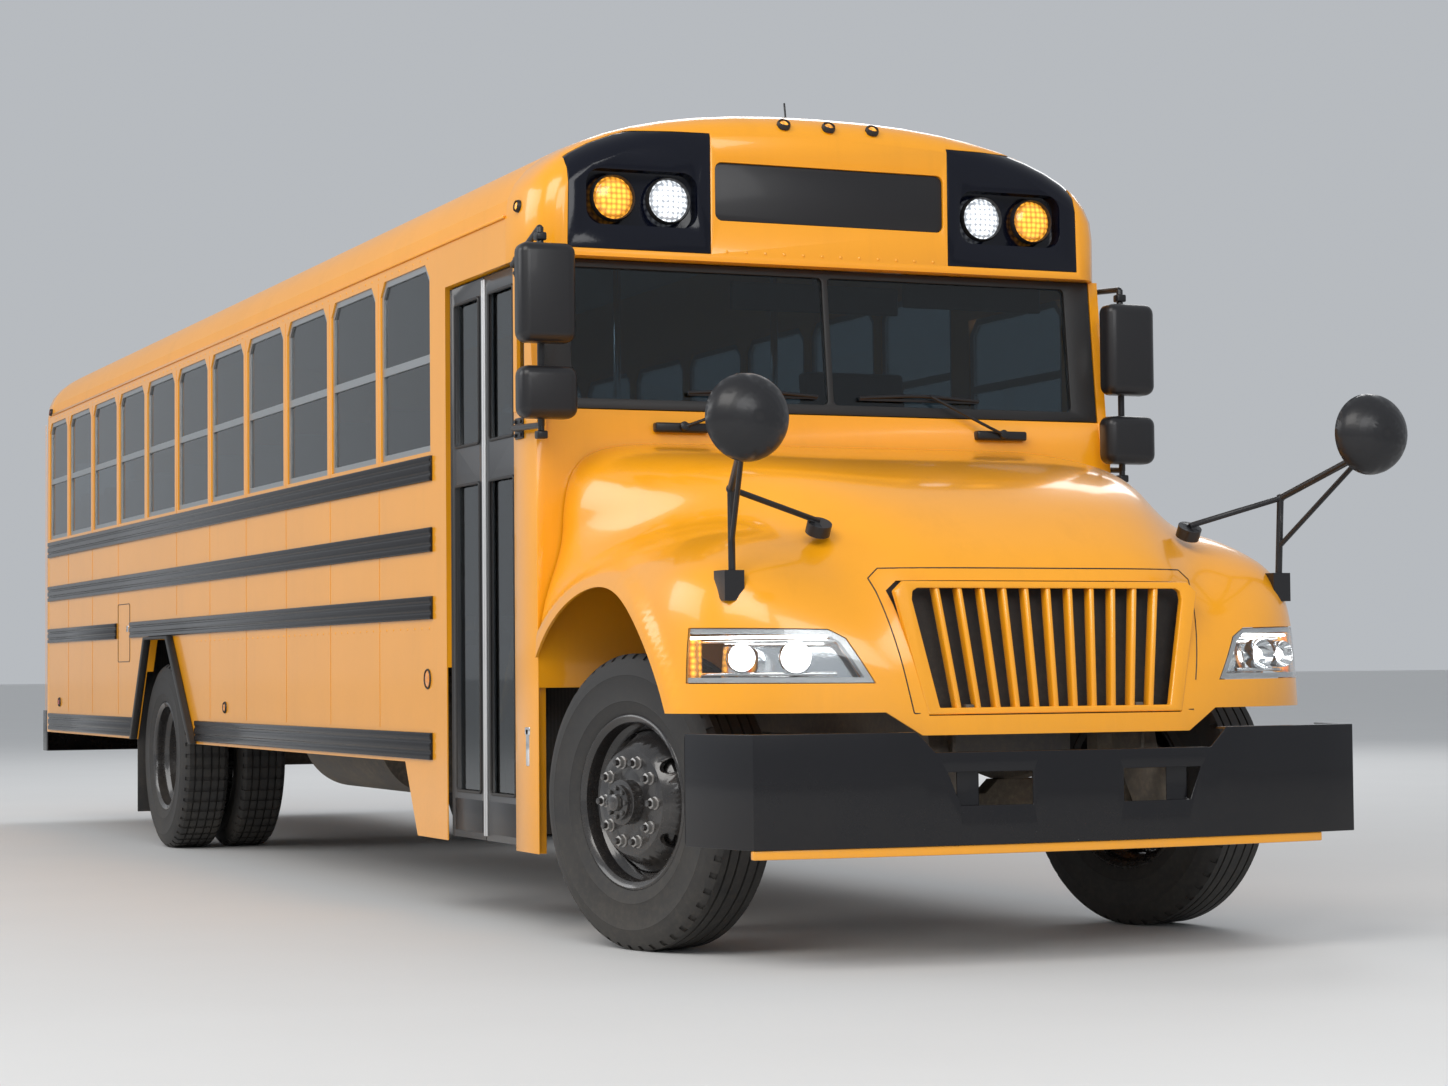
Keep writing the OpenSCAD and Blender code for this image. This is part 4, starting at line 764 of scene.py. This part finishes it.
def tyreProfile():
    half, radius = tyre["half"], tyre["radius"]
    side = [(285, 97), (301, 107), (306, 117), (318, 124), (345, 129), (351, 132.5), (356, 130.5), (400, 135), (436, 134),
            (441, 136), (446, 133.5), (466, 130), (472, 127.5), (497, 117), (508, 107), (radius, 97)]
    tread = []
    for start in tyre["ribs"]:
        tread += [(radius, start), (radius - tyre["groove"], start + 1.5), (radius - tyre["groove"], start + 7.5), (radius, start + 9)]
    inner = [(285, 86), (330, 88), (400, 116), (480, 88), (485, 0), (480, -88), (400, -116), (330, -88), (285, -86)]
    points = [(r, -h) for r, h in side] + tread + [(r, h) for r, h in reversed(side)] + inner
    return [(r * mm, h * mm) for r, h in points]


def makeTyre(name, drive):
    piece = lathe(name, tyreProfile(), tyre["steps"], True)
    step = 2 * math.pi / tyre["steps"]

    def slot(face):
        c = face.center
        turn = int(math.floor((math.atan2(c.y, c.x) + math.pi) / step + 0.01))
        reach = math.hypot(c.x, c.y)
        shoulder = 0.498 < reach < 0.5125 and abs(c.z) > 0.098
        return turn % 3 == 0 and (shoulder or (drive and reach > 0.514))
    selectFaces(piece, slot)
    bpy.ops.mesh.extrude_region_shrink_fatten(TRANSFORM_OT_shrink_fatten={"value": -0.007})
    bpy.ops.object.mode_set(mode="OBJECT")
    return piece


def wheelPlace(x, side, y, turned):
    place = Matrix.Translation((axleX + x, 0, 0))
    if turned:
        place = place @ Matrix.Translation((0, side * 0.870, 0)) @ Matrix.Rotation(math.radians(15), 4, "Z") \
            @ Matrix.Translation((0, -side * 0.870, 0))
    return place @ Matrix.Translation((0, side * y, 0.515)) @ Matrix.Rotation(math.radians(-90 * side), 4, "X")


def makeNuts(name, foot):
    nuts = []
    for i in range(10):
        turn = math.radians(36 * i)
        where = Vector((0.142875 * math.cos(turn), 0.142875 * math.sin(turn), foot))
        nut = rod("wheelNut", where, where + Vector((0, 0, 0.024)), 0.0195, 6, 0.0022)
        washer = rod("nutFlange", where - Vector((0, 0, 0.001)), where + Vector((0, 0, 0.005)), 0.0225, 20, 0.0012)
        nuts += [nut, washer]
    return joined(nuts, name)


def makeHubBolts(name, foot, circle, count):
    bolts = [rod("hubBolt", (circle * math.cos(a), circle * math.sin(a), foot), (circle * math.cos(a), circle * math.sin(a),
             foot + 0.008), 0.0085, 6, 0.001) for a in (2 * math.pi * i / count for i in range(count))]
    cap = lathe("hubCap", [(0.0, foot + 0.020), (0.020, foot + 0.0195), (0.028, foot + 0.016), (0.030, foot + 0.002),
                           (0.0, foot + 0.002)], 32)
    return joined(bolts + [cap], name)


def addWheels():
    steer = makeTyre("steerTyre", False)
    drive = makeTyre("driveTyre", True)
    frontNuts, rearNuts = makeNuts("frontNuts", 0.118), makeNuts("rearNuts", -0.153)
    frontHub, rearHub = makeHubBolts("frontHub", 0.178, 0.050, 8), makeHubBolts("rearHub", -0.010, 0.050, 8)
    for side, word in ((1, "left"), (-1, "right")):
        place = wheelPlace(0, side, 1.015, True)
        body = "front_" + word
        piece = settle(copyOf(steer, body + "Tread", place), body, materials["tyre_rubber"], 30)
        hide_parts(body + "_tyre")
        settle(copyOf(frontNuts, body + "Nuts", place), body, materials["nutSteel"], 30)
        settle(copyOf(frontHub, body + "HubCap", place), body, materials["wheel_black"], 30)
        place = wheelPlace(-7.0, side, 1.055, False)
        body = "rear_" + word
        outer = copyOf(drive, body + "Tread", place)
        inner = copyOf(drive, body + "Inner", place @ Matrix.Translation((0, 0, -0.320)))
        piece = settle(joined([outer, inner], body + "Tread"), body, materials["tyre_rubber"], 30)
        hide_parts(body + "_tyres")
        settle(copyOf(rearNuts, body + "Nuts", place), body, materials["nutSteel"], 30)
        settle(copyOf(rearHub, body + "HubCap", place), body, materials["wheel_black"], 30)
    for piece in (steer, drive, frontNuts, rearNuts, frontHub, rearHub):
        bpy.data.objects.remove(piece)


# ---- lamps ----
def touch(node, start, way):  # where a straight line meets a CAD node, and its normal there
    target = bpy.data.objects.get(node + "_shell") or frame["nodes"][node]
    hit, place, normal, _ = target.ray_cast(Vector(start), Vector(way))
    return (place, normal) if hit else (Vector(start), -Vector(way))


def facing(place, normal):
    return Matrix.Translation(place) @ Vector(normal).to_track_quat("Z", "Y").to_matrix().to_4x4()


def domeLamp(name, radius, depth):
    return lathe(name, [(0.0, depth), (radius * 0.45, depth * 0.94), (radius * 0.75, depth * 0.74), (radius * 0.93, depth * 0.42),
                        (radius, depth * 0.1), (radius, -0.004), (0.0, -0.004)], 40)


def lampRim(name, radius, width, depth):
    return lathe(name, [(radius, -0.004), (radius, depth * 0.6), (radius + width * 0.4, depth), (radius + width, depth * 0.5),
                        (radius + width, -0.004)], 40, True)


def addLamp(name, place, normal, radius, depth, material, body="bus", rim=None):
    lens = domeLamp(name, radius, depth)
    lens.matrix_world = facing(place, normal)
    settle(lens, body, materials[material], 40)
    if rim:
        ring = lampRim(name + "Rim", radius, rim, depth)
        ring.matrix_world = facing(place, normal)
        settle(ring, body, materials["rubber"], 40)
    return lens


def addLamps():
    first = None
    for side, word in ((1, "left"), (-1, "right")):
        for y, material in ((0.669, "whiteLit"), (0.894, "amberLit")):
            lens = addLamp(f"{word}Warning{int(y * 1000)}", (axleX - 0.664, side * y, 2.746), (1, 0, 0), 0.080, 0.022, material, rim=0.010)
            first = first or lens
        lean = (-math.cos(math.radians(3.47)), 0, math.sin(math.radians(3.47)))
        for y, z, radius, material in ((0.900, 2.760, 0.086, "amberDark"), (0.690, 2.760, 0.086, "redDark"),
                                       (1.040, 1.250, 0.078, "redDark"), (1.040, 1.060, 0.053, "amberDark")):
            place, _ = touch("signal_lamps", (-7, side * y, z), (1, 0, 0))
            addLamp(f"{word}Rear{int(y * 1000)}{int(z * 1000)}", place, lean, radius, 0.016, material, rim=0.012)
        for x, z, material in ((-0.82, 2.72, "amberLit"), (-10.20, 2.72, "redDark")):
            node = "front_cap" if x > -1 else "rear_wall"
            place, normal = touch(node, (axleX + x, side * 2, z), (0, -side, 0))
            addLamp(f"{word}Corner{int(-x * 100)}", place, normal, 0.018, 0.016, material, rim=0.006)
        for x in (-5.4, -9.9):  # side marker lamps low on the skirts
            place, normal = touch(word + "_side_wall", (axleX + x, side * 2, 0.80), (0, -side, 0))
            addLamp(f"{word}Side{int(-x * 10)}", place, normal, 0.024, 0.010, "amberDark" if x > -6 else "redDark", rim=0.006)
        # the amber reflector carries the faintly glowing lens material: a painted glow, as a reflector gives no light
        # of its own
        place, normal = touch(word + "_side_wall", (axleX - 1.951, side * 2, 0.944), (0, -side, 0))
        addLamp(word + "Reflector", place, normal, 0.036, 0.007, "amberDark", rim=0.006)
    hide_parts("signal_lamps")
    for y in (-0.189, 0.0, 0.189):
        place, normal = touch("front_cap", (axleX + 0.5, y, 3.062), (-1, 0, 0))
        addLamp(f"roofFront{int(y * 1000) + 500}", place, normal, 0.020, 0.018, "amberLit", rim=0.007)
        place, normal = touch("rear_wall", (-7, y, 3.03), (1, 0, 0))
        addLamp(f"roofRear{int(y * 1000) + 500}", place, normal, 0.020, 0.018, "redDark", rim=0.007)


# ---- wipers, antenna and cowl trim ----
wiper = {"right": (-0.64, -0.30, -0.60, -0.06), "left": (0.72, 0.42, 0.12, 0.64), "pivot": 1.884, "blade": 2.018}


def shieldX(z):  # outer face of the windshield at height z
    return axleX + (-0.644 - 0.062 * (z - 1.946) / 0.574) - 0.012


def addWipers():
    for word in ("right", "left"):
        base, end, low, high = wiper[word]
        z = wiper["pivot"]
        cover = roundedBlock(word + "WiperCover", (axleX - 0.640, base - 0.11, z - 0.020), (axleX - 0.596, base + 0.11, z + 0.016), 0.008, 3)
        settle(cover, "bus", materials["black_plastic"], 40)
        hub = rod("wiperHub", (axleX - 0.62, base, z), (axleX - 0.580, base, z + 0.004), 0.017, 20)
        arm = tube("wiperArm", [(axleX - 0.586, base, z), (axleX - 0.578, base + (end - base) * 0.25, z + 0.03),
                                (shieldX(wiper["blade"]) + 0.040, end, wiper["blade"] + 0.012)], 0.006, 0.6)
        blade = tube("wiperBlade", [(shieldX(wiper["blade"]) + 0.017, low, wiper["blade"]), (shieldX(wiper["blade"]) + 0.030,
                     (low + high) / 2, wiper["blade"] + 0.016), (shieldX(wiper["blade"]) + 0.017, high, wiper["blade"])], 0.007, 0.9)
        edge = roundedBlock("wiperEdge", (shieldX(wiper["blade"]) + 0.008, low, wiper["blade"] - 0.010),
                            (shieldX(wiper["blade"]) + 0.020, high, wiper["blade"] + 0.002), 0.002)
        settle(joined([hub, arm, blade, edge], word + "Wiper"), "bus", materials["black_plastic"], 40)
    mast = rod("antennaMast", (axleX - 1.04, 0, 3.12), (axleX - 1.06, 0, 3.235), 0.004, 12)
    foot = lathe("antennaFoot", [(0.0, 0.03), (0.012, 0.026), (0.018, 0.012), (0.034, 0.004), (0.036, -0.006), (0.0, -0.006)], 24)
    foot.location = (axleX - 1.04, 0, 3.123)
    applyPlace(foot)
    settle(joined([mast, foot], "antenna"), "bus", materials["black_plastic"], 40)
    for side, word in ((1, "left"), (-1, "right")):  # rubber hood latches beside the wheels
        strap = roundedBlock("latchStrap", (axleX - 0.745, side * 1.2195 - 0.004, 0.62), (axleX - 0.715, side * 1.2195 + 0.012, 0.76), 0.005, 3)
        hook = roundedBlock("latchHook", (axleX - 0.755, side * 1.2195 - 0.004, 0.735), (axleX - 0.705, side * 1.2195 + 0.016, 0.765), 0.004, 3)
        settle(joined([strap, hook], word + "Latch"), "bus", materials["chrome"], 40)


def addRivets():
    for side, word in ((1, "left"), (-1, "right")):
        for row, (z, node) in enumerate(((2.668, word + "_side_wall"), (1.150, word + "_side_wall"))):
            place, _ = touch(node, (axleX - 3, side * 2, z), (0, -side, 0))
            rivet = lathe("rivet", [(0.0, 0.0026), (0.004, 0.0022), (0.0062, 0.0), (0.0, -0.001)], 7)
            rivet.matrix_world = facing((axleX - 1.93, side * 1.219, z), (0, side, 0))
            applyPlace(rivet)
            count = 82 if row == 0 else 42
            line = repeated(rivet, count, (-0.100, 0, 0))
            line.name = f"{word}Rivets{row}"
            settle(line, "bus", materials["yellow_paint"], 40)
    rivet = lathe("rivet", [(0.0, 0.003), (0.0045, 0.0024), (0.007, 0.0), (0.0, -0.001)], 7)
    place, normal = touch("front_cap", (axleX + 0.5, -0.44, 2.560), (-1, 0, 0))
    rivet.matrix_world = facing((place.x, -0.44, 2.560), (1, 0, 0))
    applyPlace(rivet)
    settle(repeated(rivet, 12, (0, 0.080, 0)), "bus", materials["yellow_paint"], 40).name = "capRivets"


# ---- entrance ----
def addDoorTrim():
    gate = (("front_leaf", -1.282, -1.266, -1.270), ("rear_leaf", -1.304, -1.288, -1.300))
    for body, low, high, edge in gate:
        strip = roundedBlock(body + "Strip", (axleX + low, -1.2005, 0.335), (axleX + high, -1.1945, 2.500), 0.002, 2)
        settle(strip, body, materials["brightStrip"], 35)
    for body, x0, x1 in (("front_leaf", -1.275, -0.885), ("rear_leaf", -1.695, -1.295)):
        frames = []
        for z0, z1 in ((0.500, 1.712), (1.868, 2.440)):
            a, b = axleX + x0 + 0.050, axleX + x1 - 0.050
            frames.append(tube("leafSeal", [(a, -1.196, (z0 + z1) / 2), (a, -1.196, z1), (b, -1.196, z1), (b, -1.196, z0),
                                            (a, -1.196, z0), (a, -1.196, (z0 + z1) / 2)], 0.006, 0.12))
        settle(joined(frames, body + "Seals"), body, materials["rubber"], 40)
        plate = roundedBlock(body + "Kick", (axleX + x0 + 0.03, -1.1975, 0.345), (axleX + x1 - 0.03, -1.1945, 0.470), 0.0012, 2)
        settle(plate, body, materials["black_plastic"], 35)
    for x, word in ((-1.60, "rear"), (-0.96, "front")):
        rail = tube(word + "GrabRail", [(axleX + x, -1.08, 0.75), (axleX + x, -1.02, 0.78), (axleX + x, -0.86, 1.62),
                                        (axleX + x, -0.62, 1.72), (axleX + x, -0.50, 1.72)], 0.015, 0.6)
        settle(rail, "bus", materials["yellow_paint"], 50)
    handle = tube("exitHandle", [(axleX - 10.415, 0.34, 1.72), (axleX - 10.450, 0.34, 1.72), (axleX - 10.450, 0.20, 1.72),
                                 (axleX - 10.415, 0.20, 1.72)], 0.010, 0.5)
    settle(handle, "rear_exit", materials["chrome"], 50)


# ---- mirrors ----
def addMirrors():  # rounded housings on a bent tube at each front corner
    first = None
    for side, word, x, drop in ((-1, "right", -0.450, 0.0), (1, "left", -0.575, -0.110)):
        parts = []
        for y, z, wide, tall in ((1.146, 2.160, 0.217, 0.364), (1.140, 1.885, 0.222, 0.191)):
            low = min(side * y, side * (y + wide))
            head = roundedBlock("mirrorHead", (axleX + x, low, z + drop), (axleX + x + 0.090, low + wide, z + drop + tall), 0.038, 5)
            for vertex in head.data.vertices:  # the front swells, the back is flat
                if vertex.co.x < axleX + x + 0.045:
                    vertex.co.x = axleX + x + (vertex.co.x - axleX - x) * 0.35
            parts.append(head)
        back = axleX + x - 0.012
        parts.append(rod("mirrorPost", (back, side * 1.255, 1.860 + drop), (back, side * 1.255, 2.590 + drop), 0.013, 20))
        armX = axleX - (0.796 if side < 0 else 0.806)
        for start, end in ((2.590 + drop, 2.494), (1.865 + drop, 1.880 + drop)):
            parts.append(tube("mirrorArm", [(back, side * 1.255, start - 0.04), (back, side * 1.255, start),
                                            (armX, side * 1.245, end), (armX, side * 1.222, end)], 0.012, 0.5))
            plate = roundedBlock("mirrorPlate", (armX - 0.045, side * 1.2215 - 0.0045, end - 0.040),
                                 (armX + 0.045, side * 1.2215 + 0.0045, end + 0.040), 0.004, 3)
            bolts = [rod("plateBolt", (armX + a, side * 1.224, end + b), (armX + a, side * 1.232, end + b), 0.008, 6, 0.001)
                     for a in (-0.030, 0.030) for b in (-0.026, 0.026)]
            parts += [plate, *bolts]
            clamp = roundedBlock("postClamp", (back - 0.020, side * 1.255 - 0.020, start - 0.050),
                                 (back + 0.020, side * 1.255 + 0.020, start - 0.020), 0.006, 3)
            parts.append(clamp)
        piece = settle(joined(parts, word + "Mirrors"), "bus", materials["black_plastic"], 35)
        first = first or piece
    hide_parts("rearview_mirrors")
    for side, word, x, drop in ((-1, "right", -0.450, 0.0), (1, "left", -0.575, -0.110)):
        for y, z, wide, tall, name in ((1.146, 2.160, 0.217, 0.364, "Flat"), (1.140, 1.885, 0.222, 0.191, "Round")):
            low = min(side * y, side * (y + wide)) + 0.016
            pane = roundedBlock(word + name + "Mirror", (axleX + x - 0.004, low, z + drop + 0.016),
                                (axleX + x + 0.003, low + wide - 0.032, z + drop + tall - 0.016), 0.003, 2)
            settle(pane, "bus", materials["mirrorGlass"], 40)
        bowl = lathe(word + "Bowl", [(0.0, -0.030), (0.060, -0.027), (0.105, -0.016), (0.132, 0.0), (0.136, 0.006), (0.0, 0.006)], 48)
        bowl.matrix_world = Matrix.Translation((axleX + 1.200, side * 1.170, 1.760)) @ Matrix.Rotation(math.radians(90), 4, "Y")
        settle(bowl, "hood", materials["mirrorGlass"], 40)


# ---- seats: crowned cushions over steel legs ----
seats = {"rows": 11, "first": -2.450, "pitch": 0.720, "inner": 0.192, "outer": 1.1765, "floor": 1.080}


def cushion(name, low, high, crown, axis):
    piece = roundedBlock(name, low, high, 0.018, 2)
    bpy.ops.object.mode_set(mode="EDIT")
    bpy.ops.mesh.select_all(action="SELECT")
    bpy.ops.mesh.subdivide(number_cuts=5)
    bpy.ops.object.mode_set(mode="OBJECT")
    low, high = Vector(low), Vector(high)
    middle, half = (low + high) / 2, (high - low) / 2
    for vertex in piece.data.vertices:
        part = [(vertex.co[i] - middle[i]) / half[i] for i in range(3)]
        flat = [part[i] for i in range(3) if i != axis]
        swell = max(0.0, (1 - flat[0] ** 4) * (1 - flat[1] ** 4))
        if axis != 2 or part[2] > 0:
            vertex.co[axis] += math.copysign(crown, part[axis]) * swell * min(1.0, abs(part[axis]) * 1.4)
        groove = math.exp(-((vertex.co.y - (low.y + high.y) / 2) / 0.012) ** 2) * swell
        vertex.co[axis] -= math.copysign(0.006, part[axis]) * groove * min(1.0, abs(part[axis]) * 1.4)
    applyModifier(piece, "SUBSURF", levels=1, render_levels=1)
    return piece


def addSeats():
    pad = cushion("benchPad", (-0.395, seats["inner"], 0.345), (-0.005, seats["outer"], 0.415), 0.014, 2)
    rest = cushion("benchBack", (-0.050, seats["inner"], 0.36), (0.010, seats["outer"], 1.050), 0.010, 0)
    for vertex in rest.data.vertices:
        vertex.co.x += -0.350 - 0.080 * (vertex.co.z - 0.34) / 0.72
    bench = joined([pad, rest], "bench")
    legs = []
    for x in (-0.330, -0.090):
        leg = tube("benchLeg", [(x + 0.02, 0.230, 0.0), (x + 0.02, 0.230, 0.34)], 0.015)
        foot = roundedBlock("benchFoot", (x - 0.03, 0.20, 0.0), (x + 0.07, 0.26, 0.006), 0.002)
        legs += [leg, foot]
    bar = roundedBlock("benchBar", (-0.40, 0.215, 0.325), (-0.01, 0.245, 0.345), 0.004)
    legs.append(bar)
    stand = joined(legs, "benchStand")
    first = True
    for side, word in ((1, "left"), (-1, "right")):
        for i in range(seats["rows"]):
            place = Matrix.Translation((axleX + seats["first"] - seats["pitch"] * i, 0, seats["floor"]))
            if side < 0:
                place = place @ Matrix.Diagonal((1, -1, 1, 1))
            seat, legSet = copyOf(bench, f"{word}Bench{i}", place), copyOf(stand, f"{word}Stand{i}", place)
            if side < 0:
                for piece in (seat, legSet):
                    activate(piece)
                    bpy.ops.object.mode_set(mode="EDIT")
                    bpy.ops.mesh.select_all(action="SELECT")
                    bpy.ops.mesh.normals_make_consistent(inside=False)
                    bpy.ops.object.mode_set(mode="OBJECT")
            settle(seat, "bus", materials["seat_vinyl"], 60)
            settle(legSet, "bus", materials["black_paint"], 40)
            if first:
                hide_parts("passenger_seats")
                first = False
    bpy.data.objects.remove(bench)
    bpy.data.objects.remove(stand)
    base = (axleX - 1.350, 0.560, seats["floor"])
    pad = cushion("driverPad", (base[0] - 0.24, 0.315, base[2] + 0.345), (base[0] + 0.24, 0.805, base[2] + 0.440), 0.016, 2)
    rest = cushion("driverBack", (base[0] - 0.05, 0.33, base[2] + 0.46), (base[0] + 0.04, 0.79, base[2] + 1.14), 0.012, 0)
    for vertex in rest.data.vertices:
        vertex.co.x += -0.190 - 0.100 * (vertex.co.z - base[2] - 0.46) / 0.70
    seat = settle(joined([pad, rest], "driverCushions"), "bus", materials["seat_vinyl"], 60)
    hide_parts("driver_seat")
    post = roundedBlock("driverPost", (base[0] - 0.19, 0.415, base[2]), (base[0] + 0.19, 0.705, base[2] + 0.345), 0.02, 3)
    settle(post, "bus", materials["black_plastic"], 40)


# ---- small body trim ----
trim = {"pitch": 0.775, "firstPillar": -1.866, "pillars": 12, "lapWidth": 0.016, "gutterZ": 2.701}


def frameLoop(name, low, high, y, radius):  # a bead round a rectangle on the plane at y
    (x0, z0), (x1, z1) = low, high
    middle = (z0 + z1) / 2
    return tube(name, [(x0, y, middle), (x0, y, z1), (x1, y, z1), (x1, y, z0), (x0, y, z0), (x0, y, middle)], radius, 0.15)


def addBodyTrim():
    for side, word in ((1, "left"), (-1, "right")):
        face = side * 1.219
        gutter = roundedBlock("gutter", (axleX - 10.14, min(face, face + side * 0.009), trim["gutterZ"] - 0.007),
                              (axleX - 0.955, max(face, face + side * 0.009), trim["gutterZ"] + 0.006), 0.0035, 2)
        laps = [gutter]
        for i in range(1, trim["pillars"]):
            x = axleX + trim["firstPillar"] - trim["pitch"] * i
            if abs(x - (axleX - 6.87)) < 0.75 and i % 2:
                continue
            low = 1.30 if abs(x - (axleX - 6.87)) < 0.75 else 0.74
            half = trim["lapWidth"] / 2
            laps.append(roundedBlock("panelLap", (x - half, min(face, face + side * 0.0014), low),
                                     (x + half, max(face, face + side * 0.0014), 2.650), 0.0006, 1))
        settle(joined(laps, word + "Laps"), "bus", materials["yellow_paint"], 40)
    door = frameLoop("hatchSeam", (axleX - 8.06, 1.05), (axleX - 7.73, 1.39), -1.2195, 0.0022)
    latch = roundedBlock("hatchLatch", (axleX - 7.80, -1.226, 1.225), (axleX - 7.755, -1.218, 1.262), 0.003, 2)
    settle(door, "bus", materials["rubber"], 40)
    settle(latch, "bus", materials["chrome"], 40)


def addStopSign():
    for face, word in ((1.2578, "Outer"), (1.2482, "Inner")):
        ring = lathe("signRing" + word, [(0.204, -0.0008), (0.204, 0.0008), (0.216, 0.0008), (0.216, -0.0008)], 8, True)
        ring.matrix_world = Matrix.Translation((axleX - 2.335, face, 1.662)) @ Matrix.Rotation(math.pi / 2, 4, "X") \
            @ Matrix.Rotation(math.radians(22.5), 4, "Z")
        settle(ring, "stop_sign", materials["hatch_white"], 20)
    for z, word in ((1.800, "Top"), (1.524, "Foot")):
        addLamp("sign" + word, (axleX - 2.335, 1.2572, z), (0, 1, 0), 0.034, 0.014, "redDark", "stop_sign", rim=0.006)


def addRearTrim():
    lean = math.radians(3.47)

    def backX(z):
        return axleX + (-10.449 + 0.144 * (z - 0.6) / 2.375)
    beads = []
    for z0, z1, half in ((1.180, 1.650, 0.380), (1.873, 2.380, 0.380), (1.10, 2.45, 0.474)):
        points = [(backX((z0 + z1) / 2), -half, (z0 + z1) / 2), (backX(z1), -half, z1), (backX(z1), half, z1),
                  (backX(z0), half, z0), (backX(z0), -half, z0), (backX((z0 + z1) / 2), -half, (z0 + z1) / 2)]
        bead = tube("backBead", [(x - 0.001, y, z) for x, y, z in points], 0.007 if half < 0.4 else 0.004, 0.15)
        if half < 0.4:
            beads.append(bead)
        else:
            settle(bead, "bus", materials["rubber"], 40)
    settle(joined(beads, "exitBeads"), "rear_exit", materials["rubber"], 40)
    hinges = [rod("exitHinge", (backX(z) - 0.002, -0.475, z), (backX(z + 0.11) - 0.002, -0.475, z + 0.11), 0.009, 16)
              for z in (1.25, 1.72, 2.20)]
    settle(joined(hinges, "exitHinges"), "rear_exit", materials["chassis_black"], 40)
    plate = roundedBlock("blankPlate", (backX(0.95) - 0.008, 0.62, 0.87), (backX(0.95) - 0.002, 0.93, 1.03), 0.003, 2)
    settle(plate, "bus", materials["hatch_white"], 40)
    rivets = lathe("backRivet", [(0.0, 0.0026), (0.004, 0.0022), (0.0062, 0.0), (0.0, -0.001)], 7)
    rivets.matrix_world = Matrix.Translation((backX(2.62), -1.0, 2.62)) @ Matrix.Rotation(-math.pi / 2 + lean, 4, "Y")
    applyPlace(rivets)
    settle(repeated(rivets, 21, (0, 0.100, 0)), "bus", materials["yellow_paint"], 40)


def addCabinTrim():
    glass = roundedBlock("insideMirror", (axleX - 0.800, -0.36, 2.36), (axleX - 0.780, 0.36, 2.47), 0.009, 3)
    stem = rod("mirrorStem", (axleX - 0.790, 0, 2.46), (axleX - 0.780, 0, 2.56), 0.010, 16)
    settle(joined([glass, stem], "insideMirror"), "bus", materials["black_plastic"], 40)
    visor = roundedBlock("sunVisor", (axleX - 0.830, 0.40, 2.40), (axleX - 0.815, 1.02, 2.52), 0.006, 3)
    settle(visor, "bus", materials["black_plastic"], 40)
    for y, word in ((-0.42, "Entry"), (0.30, "Driver")):
        pole = rod("cabinPole" + word, (axleX - 1.85, y, 1.080), (axleX - 1.85, y, 2.94), 0.016, 20)
        settle(pole, "bus", materials["chrome"], 40)
    panel = roundedBlock("modestyPanel", (axleX - 1.865, -1.16, 1.20), (axleX - 1.845, -0.44, 1.85), 0.008, 3)
    settle(panel, "bus", materials["black_plastic"], 40)


# near-black sheet behind the grille bars: painted shade
materials["screen"] = finish("grilleShadeSheet", (0.006, 0.006, 0.007), 0.6, dust=0.3)
materials["nutSteel"] = finish("nutSteel", (0.42, 0.41, 0.40), 0.32, metallic=0.9, dust=0.3, worn=(0.6, 0.6, 0.6))

for stage in (addHood, addGrille, addHeadlights, addWheels, addLamps, addWipers, addRivets, addDoorTrim, addMirrors, addSeats,
              addBodyTrim, addStopSign, addRearTrim, addCabinTrim):
    stage()
    print("made:", stage.__name__)

# ---- camera, light and floor ----
view = {"place": (14.3775, -4.908, 0.970), "yaw": 156.789, "pitch": 2.438, "roll": -0.518, "lens": 74.11}


def addCamera():
    camera = bpy.data.objects.new("camera", bpy.data.cameras.new("camera"))
    bpy.context.collection.objects.link(camera)
    yaw, pitch, roll = (math.radians(view[key]) for key in ("yaw", "pitch", "roll"))
    ahead = Vector((math.cos(pitch) * math.cos(yaw), math.cos(pitch) * math.sin(yaw), math.sin(pitch)))
    side = ahead.cross(Vector((0, 0, 1))).normalized()
    up = side.cross(ahead)
    right = math.cos(roll) * side + math.sin(roll) * up
    top = -math.sin(roll) * side + math.cos(roll) * up
    camera.matrix_world = Matrix.Translation(view["place"]) @ Matrix((right, top, -ahead)).transposed().to_4x4()
    camera.data.lens = view["lens"]
    camera.data.sensor_width = 36
    camera.data.clip_end = 1200
    bpy.context.scene.camera = camera


def addLight(name, place, target, size, power, colour=(1, 1, 1)):
    light = bpy.data.lights.new(name, "AREA")
    light.shape = "RECTANGLE"
    light.size, light.size_y = size
    light.energy = power
    light.color = colour
    lamp = bpy.data.objects.new(name, light)
    bpy.context.collection.objects.link(lamp)
    lamp.location = place
    lamp.rotation_euler = (Vector(target) - Vector(place)).to_track_quat("-Z", "Y").to_euler()


def addStage():
    clearSelection()
    bpy.ops.mesh.primitive_plane_add(size=700, location=(0, 0, 0))
    ground = bpy.context.object
    ground.name = "studioFloor"
    material = bpy.data.materials.new("studioFloor")
    material.use_nodes = True
    tree = material.node_tree
    shader = tree.nodes["Principled BSDF"]
    vector = tree.nodes.new("ShaderNodeTexCoord").outputs["Object"]
    tree.links.new(mixColour(tree, noise(tree, vector, 0.8, 5), (0.66, 0.66, 0.655), (0.70, 0.70, 0.695)),
                   shader.inputs["Base Color"])
    shader.inputs["Roughness"].default_value = 0.7
    ground.data.materials.append(material)
    world = bpy.data.worlds.new("studio")
    bpy.context.scene.world = world
    world.use_nodes = True
    background = world.node_tree.nodes["Background"]
    background.inputs["Color"].default_value = (0.86, 0.90, 0.95, 1)
    background.inputs["Strength"].default_value = 0.55
    addLight("keyLight", (13, -12, 13), (1, 0, 1), (12, 9), 1700, (1.0, 0.97, 0.93))
    addLight("sideLight", (-5, -16, 9), (-2, 0, 1.2), (14, 7), 900)
    addLight("fillLight", (18, -2, 8), (4, 0, 1.2), (9, 5), 600)
    addLight("backLight", (-14, 10, 12), (-3, 0, 1.5), (12, 8), 900)


addCamera()
addStage()
bpy.context.scene.view_settings.view_transform = "Standard"
